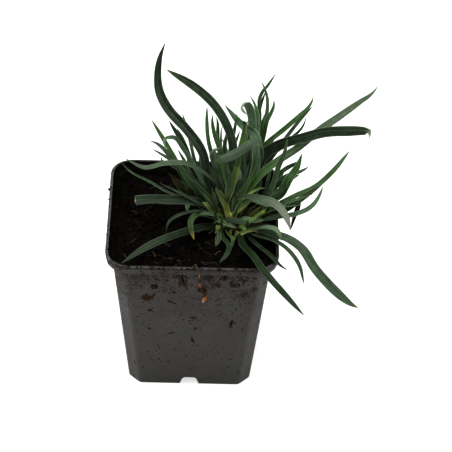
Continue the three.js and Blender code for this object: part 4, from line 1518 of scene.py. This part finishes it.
def lay_stem(name, points, girth, joints=0.3):
    """A copy of the rod laid along a line, with a rounded tip. joints is how much its joints swell."""
    places = evenly(points, STEM_RINGS)
    length = chain_length(places)
    stem = twin(stem_blank, name)
    for vertex in stem.data.vertices:
        x, t, z = vertex.co
        ring = round(t * STEM_RINGS)
        ahead = (places[min(ring + 1, STEM_RINGS)] - places[max(ring - 1, 0)]).normalized()
        side = ahead.cross(Vector((0, 1, 0.2))).normalized()
        face = side.cross(ahead)
        joint = 1 + joints * max(0, math.cos(t * length / JOINT_STEP * 2 * math.pi)) ** 6
        close = math.sqrt(max(0, 1 - max(0, (t - 0.9) / 0.1) ** 2) + 0.02)
        reach = girth(t) * joint * close
        vertex.co = places[ring] + (side * x + face * z) * reach
    smooth(stem)
    return stem


for letter, line in SHOOT_LINES.items():
    stem = lay_stem(f"stem_{letter}", line, lambda t: SHOOT_RADIUS * (1 + (SHOOT_TAPER - 1) * t))
    belongs(stem, "shoots", stem_finish, "crown_with_shoots")
print("stems", len(SHOOT_LINES))

# %% [markdown]
# The lowest leaves of a tuft are joined round the shoot as a pale sheath, a little swollen, out of
# which the leaf bases come. A short length of the same rod, laid round the upper shoot, makes it.

# %% Sheaths
SHEATH_RADIUS = 1.65 * MM
sheath_finish = mottled_finish(
    "sheath_skin", 0.3, 210.0, "95a052", "76853f", (0.45, 0.6), (0.0001, 0.6),
    patched(95.0, 0.4, 0.62, "567038", 2.0),
)
for letter, line in SHOOT_LINES.items():
    upper = line[round(0.55 * (len(line) - 1)) :]
    sheath = lay_stem(f"sheath_{letter}", upper, lambda t: SHEATH_RADIUS * (0.8 + 0.2 * ease(t * 1.4)), 0)
    belongs(sheath, "shoots", sheath_finish)
print("sheaths", len(SHOOT_LINES))

# %% [markdown]
# Round the crown lie the withered first leaves and sheaths: thin, curled, straw-coloured strips.

# %% Withered sheaths
WITHERED = 22
dice = random.Random(5)
for number in range(WITHERED):
    turn = dice.uniform(0, 2 * math.pi)
    out = Vector((math.cos(turn), math.sin(turn), 0))
    start = Vector((CROWN.x, CROWN.y, 0)) + out * dice.uniform(3, 6) * MM
    length = dice.uniform(8, 17) * MM
    sideways = Vector((-out.y, out.x, 0)) * dice.uniform(-0.5, 0.5)
    points = []
    for t in shares(5):
        spot = start + (out + sideways * t) * length * t
        lift = dice.uniform(0.5, 1.0) + 2.5 * math.sin(t * math.pi * 0.8)
        points.append((spot.x / MM, spot.y / MM, soil_height(spot.x, spot.y) / MM + lift))
    width = dice.uniform(0.9, 2.2)
    finish = dice.choice(("withered", "yellow", "withered"))
    small_leaf(
        f"withered_sheath_{number + 1:02d}", width, finish, points, dice.uniform(0.5, 0.85),
        seed=number + 60, channel=1.3,
    )
print("withered sheaths", WITHERED)

# %% [markdown]
# ## The loose root
# One root hangs out over the rim and down the front wall. It was washed out with the peat, so it is
# thin and kinked, with knots on it, and its skin goes from dark brown to orange and to a pale broken
# tip. The same rod is laid along it. Its girth and its colours are tables that run along it.
# The pale band in the colours just under the rim is a painted highlight on the strand.

# %% Loose root
ROOT_POINTS = [
    (0, -37, 86), (1, -40, 91), (2.0, -43.2, 94.4), (3.1, -46.2, 93.6), (3.6, -46.3, 91),
    (4.3, -44.6, 86.5), (4.2, -43.4, 82), (4.9, -43.2, 78.5), (6.6, -42.4, 74), (7.4, -41.4, 70.6),
    (6.2, -41, 68), (6.6, -40.8, 66.4),
]
ROOT_GIRTH = (0.3, 0.3, 0.34, 0.36, 0.42, 0.27, 0.62, 0.5, 0.62, 0.6, 0.82, 0.7)  # from the soil down
ROOT_KNOTS = 0.4
ROOT_BANDS = [  # height, and the colour there
    (66.8, "ecdcc8"), (68.6, "c4864c"), (71, "a45c20"), (72.6, "20130c"), (78.8, "20130c"), (80, "8c4c24"),
    # 88.6 mm, pale cream: a painted highlight on the strand where it bends down from the rim
    (82, "a8683a"), (83.6, "2e2814"), (86.2, "3c341a"), (88.6, "a08c68"), (91, "5a4c2e"), (94, "2e2818"),
]


def root_girth(t):
    """Radius of the root at 0 to 1."""
    return ROOT_GIRTH[int(t * (len(ROOT_GIRTH) - 1))] * MM


def root_colour(tree, at, skin):
    """Bands that blend into one another, with the mottling's darkest spots on them."""
    height = add(tree, "SeparateXYZ", Vector=at).outputs[2]
    colour = paint(ROOT_BANDS[0][1])
    for (below, _), (above, hue) in zip(ROOT_BANDS, ROOT_BANDS[1:]):
        colour = blend(tree, spread(tree, height, below * MM, above * MM), colour, paint(hue))
    return blend(tree, spread(tree, skin["Mask"], 0, 1, 0, 0.15), colour, skin["Colour"])


root_line = line_through([Vector(p) * MM for p in ROOT_POINTS])
root = lay_stem("loose_root_strand", root_line, root_girth, ROOT_KNOTS)
root_finish = mottled_finish(
    "root_skin", 0.3, 380.0, "b8702c", "6a3a18", (0.5, 0.75), (0.0002, 0.8), root_colour
)
belongs(root, "root", root_finish, "loose_root")
print("root", len(root.data.polygons), "faces")

# %% [markdown]
# A few straws and strips of bark lie on the peat near the front. They are the same rod, laid almost
# flat over the soil from one spot to another. Thinner fibres stick to the wall in the same way.

# %% Straws
dark_straw, pale_straw = (
    mottled_finish(name, 0.3, 190.0, light, dark, (0.6, 0.75), (0.0001, 0.6))
    for name, light, dark in (("straw", "46321c", "160f09"), ("pale_straw", "8a7850", "4a3a20"))
)
STRAWS = [  # from, to (across, back), thickness, height at the far end
    ((-21.0, -21.9), (-19.0, -28.0), 0.26, 1.4), ((9.5, -23.8), (15.6, -20.8), 0.12, 0.8),
    ((-23, -25), (-15.5, -27.2), 0.16, 0.6), ((-36, -24), (-32.5, -29.5), 0.4, 0.3),
    ((-15, -28.6), (-6, -27.4), 0.45, 0.3), ((6.5, -30), (12.5, -29.8), 0.2, 0.7),
    ((23.5, -20), (27, -16.2), 0.2, 1.0), ((-28, 12), (-17, 20), 0.16, 0.8),
    ((-31, 3), (-24, -6), 0.14, 0.6), ((8, 31), (17, 34), 0.22, 1.2), ((-12, 33), (-24, 30), 0.2, 1.0),
]
dice = random.Random(9)
for number, (start, end, thickness, lift) in enumerate(STRAWS):
    points = []
    stray = 0.12 if number == 0 else 0.4
    for t in shares(5):
        x, y = ((a + (b - a) * t + dice.uniform(-stray, stray)) * MM for a, b in zip(start, end))
        points.append(Vector((x, y, soil_height(x, y) + (0.5 + lift * t) * MM)))
    straw = lay_stem(f"straw_{number + 1:02d}", line_through(points), lambda t: thickness * MM, 0)
    belongs(straw, "soil", pale_straw if number < 2 else dark_straw)
print("straws", len(STRAWS))

# %% Fibres stuck to the wall
WALL_FIBRES = [  # from, to (across, up), thickness
    ((-12.2, 65.6), (-7.9, 63.2), 0.17), ((-12, 40.2), (-8.2, 41.2), 0.17),
    ((17.4, 87.5), (17.0, 81.5), 0.3), ((22, 51.5), (21.3, 46), 0.35),
    ((-4.8, 86), (-4.2, 80), 0.35), ((1, 37.5), (1.4, 33.5), 0.3),
]
for number, (start, end, thickness) in enumerate(WALL_FIBRES):
    points = []
    for t in shares(4):
        x, z = (a + (b - a) * t for a, b in zip(start, end))
        x += 0.35 * math.sin(3 * t + number)
        points.append(Vector((x * MM, -body_half(z * MM) - 0.1 * MM, z * MM)))
    fibre = lay_stem(f"wall_fibre_{number + 1}", line_through(points), lambda t: thickness * MM, 0)
    belongs(fibre, "soil", soil_finish)
bpy.data.objects.remove(stem_blank)
print("wall fibres", len(WALL_FIBRES))

# %% [markdown]
# ## Soil on the outside of the pot
# Larger flakes of peat stick to the front wall and the rim as small lumps that stand proud, so they
# are real crumbs, flattened against the wall. Their clusters are placed by a table; a seeded scatter
# adds the small ones between them, most of them just under the rim. More crumbs lie on the rim and on
# the ledge behind it.

# %% Lumps on the wall
def on_front_wall(x, z):
    """A point on the outside of the front wall, at millimetres across and up."""
    return Vector((x * MM, -body_half(z * MM), z * MM))


CLUSTERS = [  # across, up, spread, count, largest
    (-23, 67.5, 2.4, 26, 3.4), (-19.5, 75.5, 1.8, 16, 2.6), (-5.5, 85, 2.4, 24, 2.4),
    (-4.5, 79.5, 2.2, 22, 2.6), (-21.5, 58, 1.2, 6, 2.0), (1.6, 53, 1.4, 9, 2.4),
    (22, 49.5, 1.0, 7, 2.4), (22, 46.5, 0.6, 3, 1.4),
    (27.7, 45, 0.2, 2, 1.9), (1, 35, 1.0, 6, 2.0), (4.5, 31, 0.8, 4, 1.4), (-26.4, 34, 0.4, 3, 1.6),
    (-11.3, 17.6, 1.0, 5, 1.5), (5.5, 75, 1.8, 18, 2.8), (17, 84, 1.6, 12, 2.2), (27, 71.5, 1.8, 12, 2.0),
    (24, 78.5, 2.0, 16, 2.2), (20.5, 80, 1.6, 12, 2.0), (13, 78, 1.8, 14, 2.0), (-10, 72.4, 1.4, 7, 1.8),
    (-30, 78, 3.0, 12, 1.8), (-14, 84, 5.0, 30, 1.8), (9, 84.5, 5.0, 34, 2.0), (27, 84, 4.0, 22, 1.8),
    (-2, 22.4, 0.8, 3, 1.4), (20.3, 14.2, 0.8, 4, 1.6), (-28.4, 16.6, 0.6, 3, 1.6), (-17, 66, 1.6, 5, 1.2),
]
WALL_CRUMBS, RIM_CRUMBS, LEDGE_CRUMBS = 1150, 260, 1000
dice = random.Random(12)
lumps = []
for x, z, wide, count, largest in CLUSTERS:
    for _ in range(count):
        spot = on_front_wall(x + dice.gauss(0, wide * 0.6), z + dice.gauss(0, wide * 0.6))
        if abs(spot.x) < body_half(spot.z) - CORNER_FACET and spot.z < LEDGE - MM:
            lumps.append((spot, dice.uniform(0.2, 0.75) * largest))
while len(lumps) < WALL_CRUMBS:
    z = 88 - 82 * dice.random() ** 3.2
    spot = on_front_wall(dice.uniform(-36, 36), z)
    if abs(spot.x) < body_half(spot.z) - CORNER_FACET:
        lumps.append((spot, 0.3 + 1.0 * dice.random() ** 3))


def pressed(spot, size, turn):
    """A matrix that lays a crumb flat against the front wall."""
    squash = Matrix.Diagonal((size * MM, size * MM * 0.2, size * MM * 0.55))
    return Matrix.Translation(spot) @ (Matrix.Rotation(turn, 3, "Y") @ squash).to_4x4()


def on_rim(side, along, inward, height):
    """A point on one of the four sides of the rim, at distances from the pot's middle."""
    return Matrix.Rotation(math.radians(-90 * side), 3, "Z") @ Vector((along, -inward, height))


flake_places = [pressed(spot, size, dice.uniform(0, math.pi)) for spot, size in lumps]
flakes = scattered("peat_on_front_wall", CRUMBS, flake_places)
smooth(flakes, 60)
flake_finish = mottled_finish(
    "stuck_peat", 0.2, 110.0, "4a2d17", "0b0908", (0.75, 0.9), (0.0002, 0.8),
    height=lambda tree, at, skin: grain(tree, at, 2500.0),
)
belongs(flakes, "soil", flake_finish)

rim_crumbs = []
for _ in range(RIM_CRUMBS):
    along = dice.uniform(-1, 1) * (RIM_HALF - CORNER_RADIUS)
    side = dice.choice((0, 0, 0, 0, 1, 2, 3))
    inward = RIM_HALF - RIM_THICK * dice.uniform(-0.1, 1.3)
    spot = on_rim(side, along, inward, POT_HEIGHT - 0.1 * MM)
    rim_crumbs.append(tumbled(dice, spot, (0.4 + 1.3 * dice.random() ** 3) * MM, squash=0.7))
for _ in range(LEDGE_CRUMBS):
    along = dice.uniform(-1, 1) * 39 * MM
    side = dice.choice((0, 1, 1, 2, 2, 3))
    low = dice.random() ** 0.7
    inward = RIM_HALF - RIM_THICK - (0.1 + 3.6 * low) * MM
    height = LEDGE + (1.9 - 3.2 * max(0, low - 0.75) / 0.25) * MM
    spot = on_rim(side, along, inward, height)
    rim_crumbs.append(tumbled(dice, spot, (0.7 + 1.6 * dice.random() ** 2) * MM, squash=0.6))
rim_dirt = scattered("peat_on_rim", CRUMBS, rim_crumbs)
smooth(rim_dirt, 60)
belongs(rim_dirt, "soil", soil_finish)
print("lumps on the wall", len(lumps), "on the rim", len(rim_crumbs))

# %% Clearing away the blanks
for blank in (LONG_BLANK, SHORT_BLANK, *CRUMBS, *CHIPS, *FIBRES):
    bpy.data.objects.remove(blank)
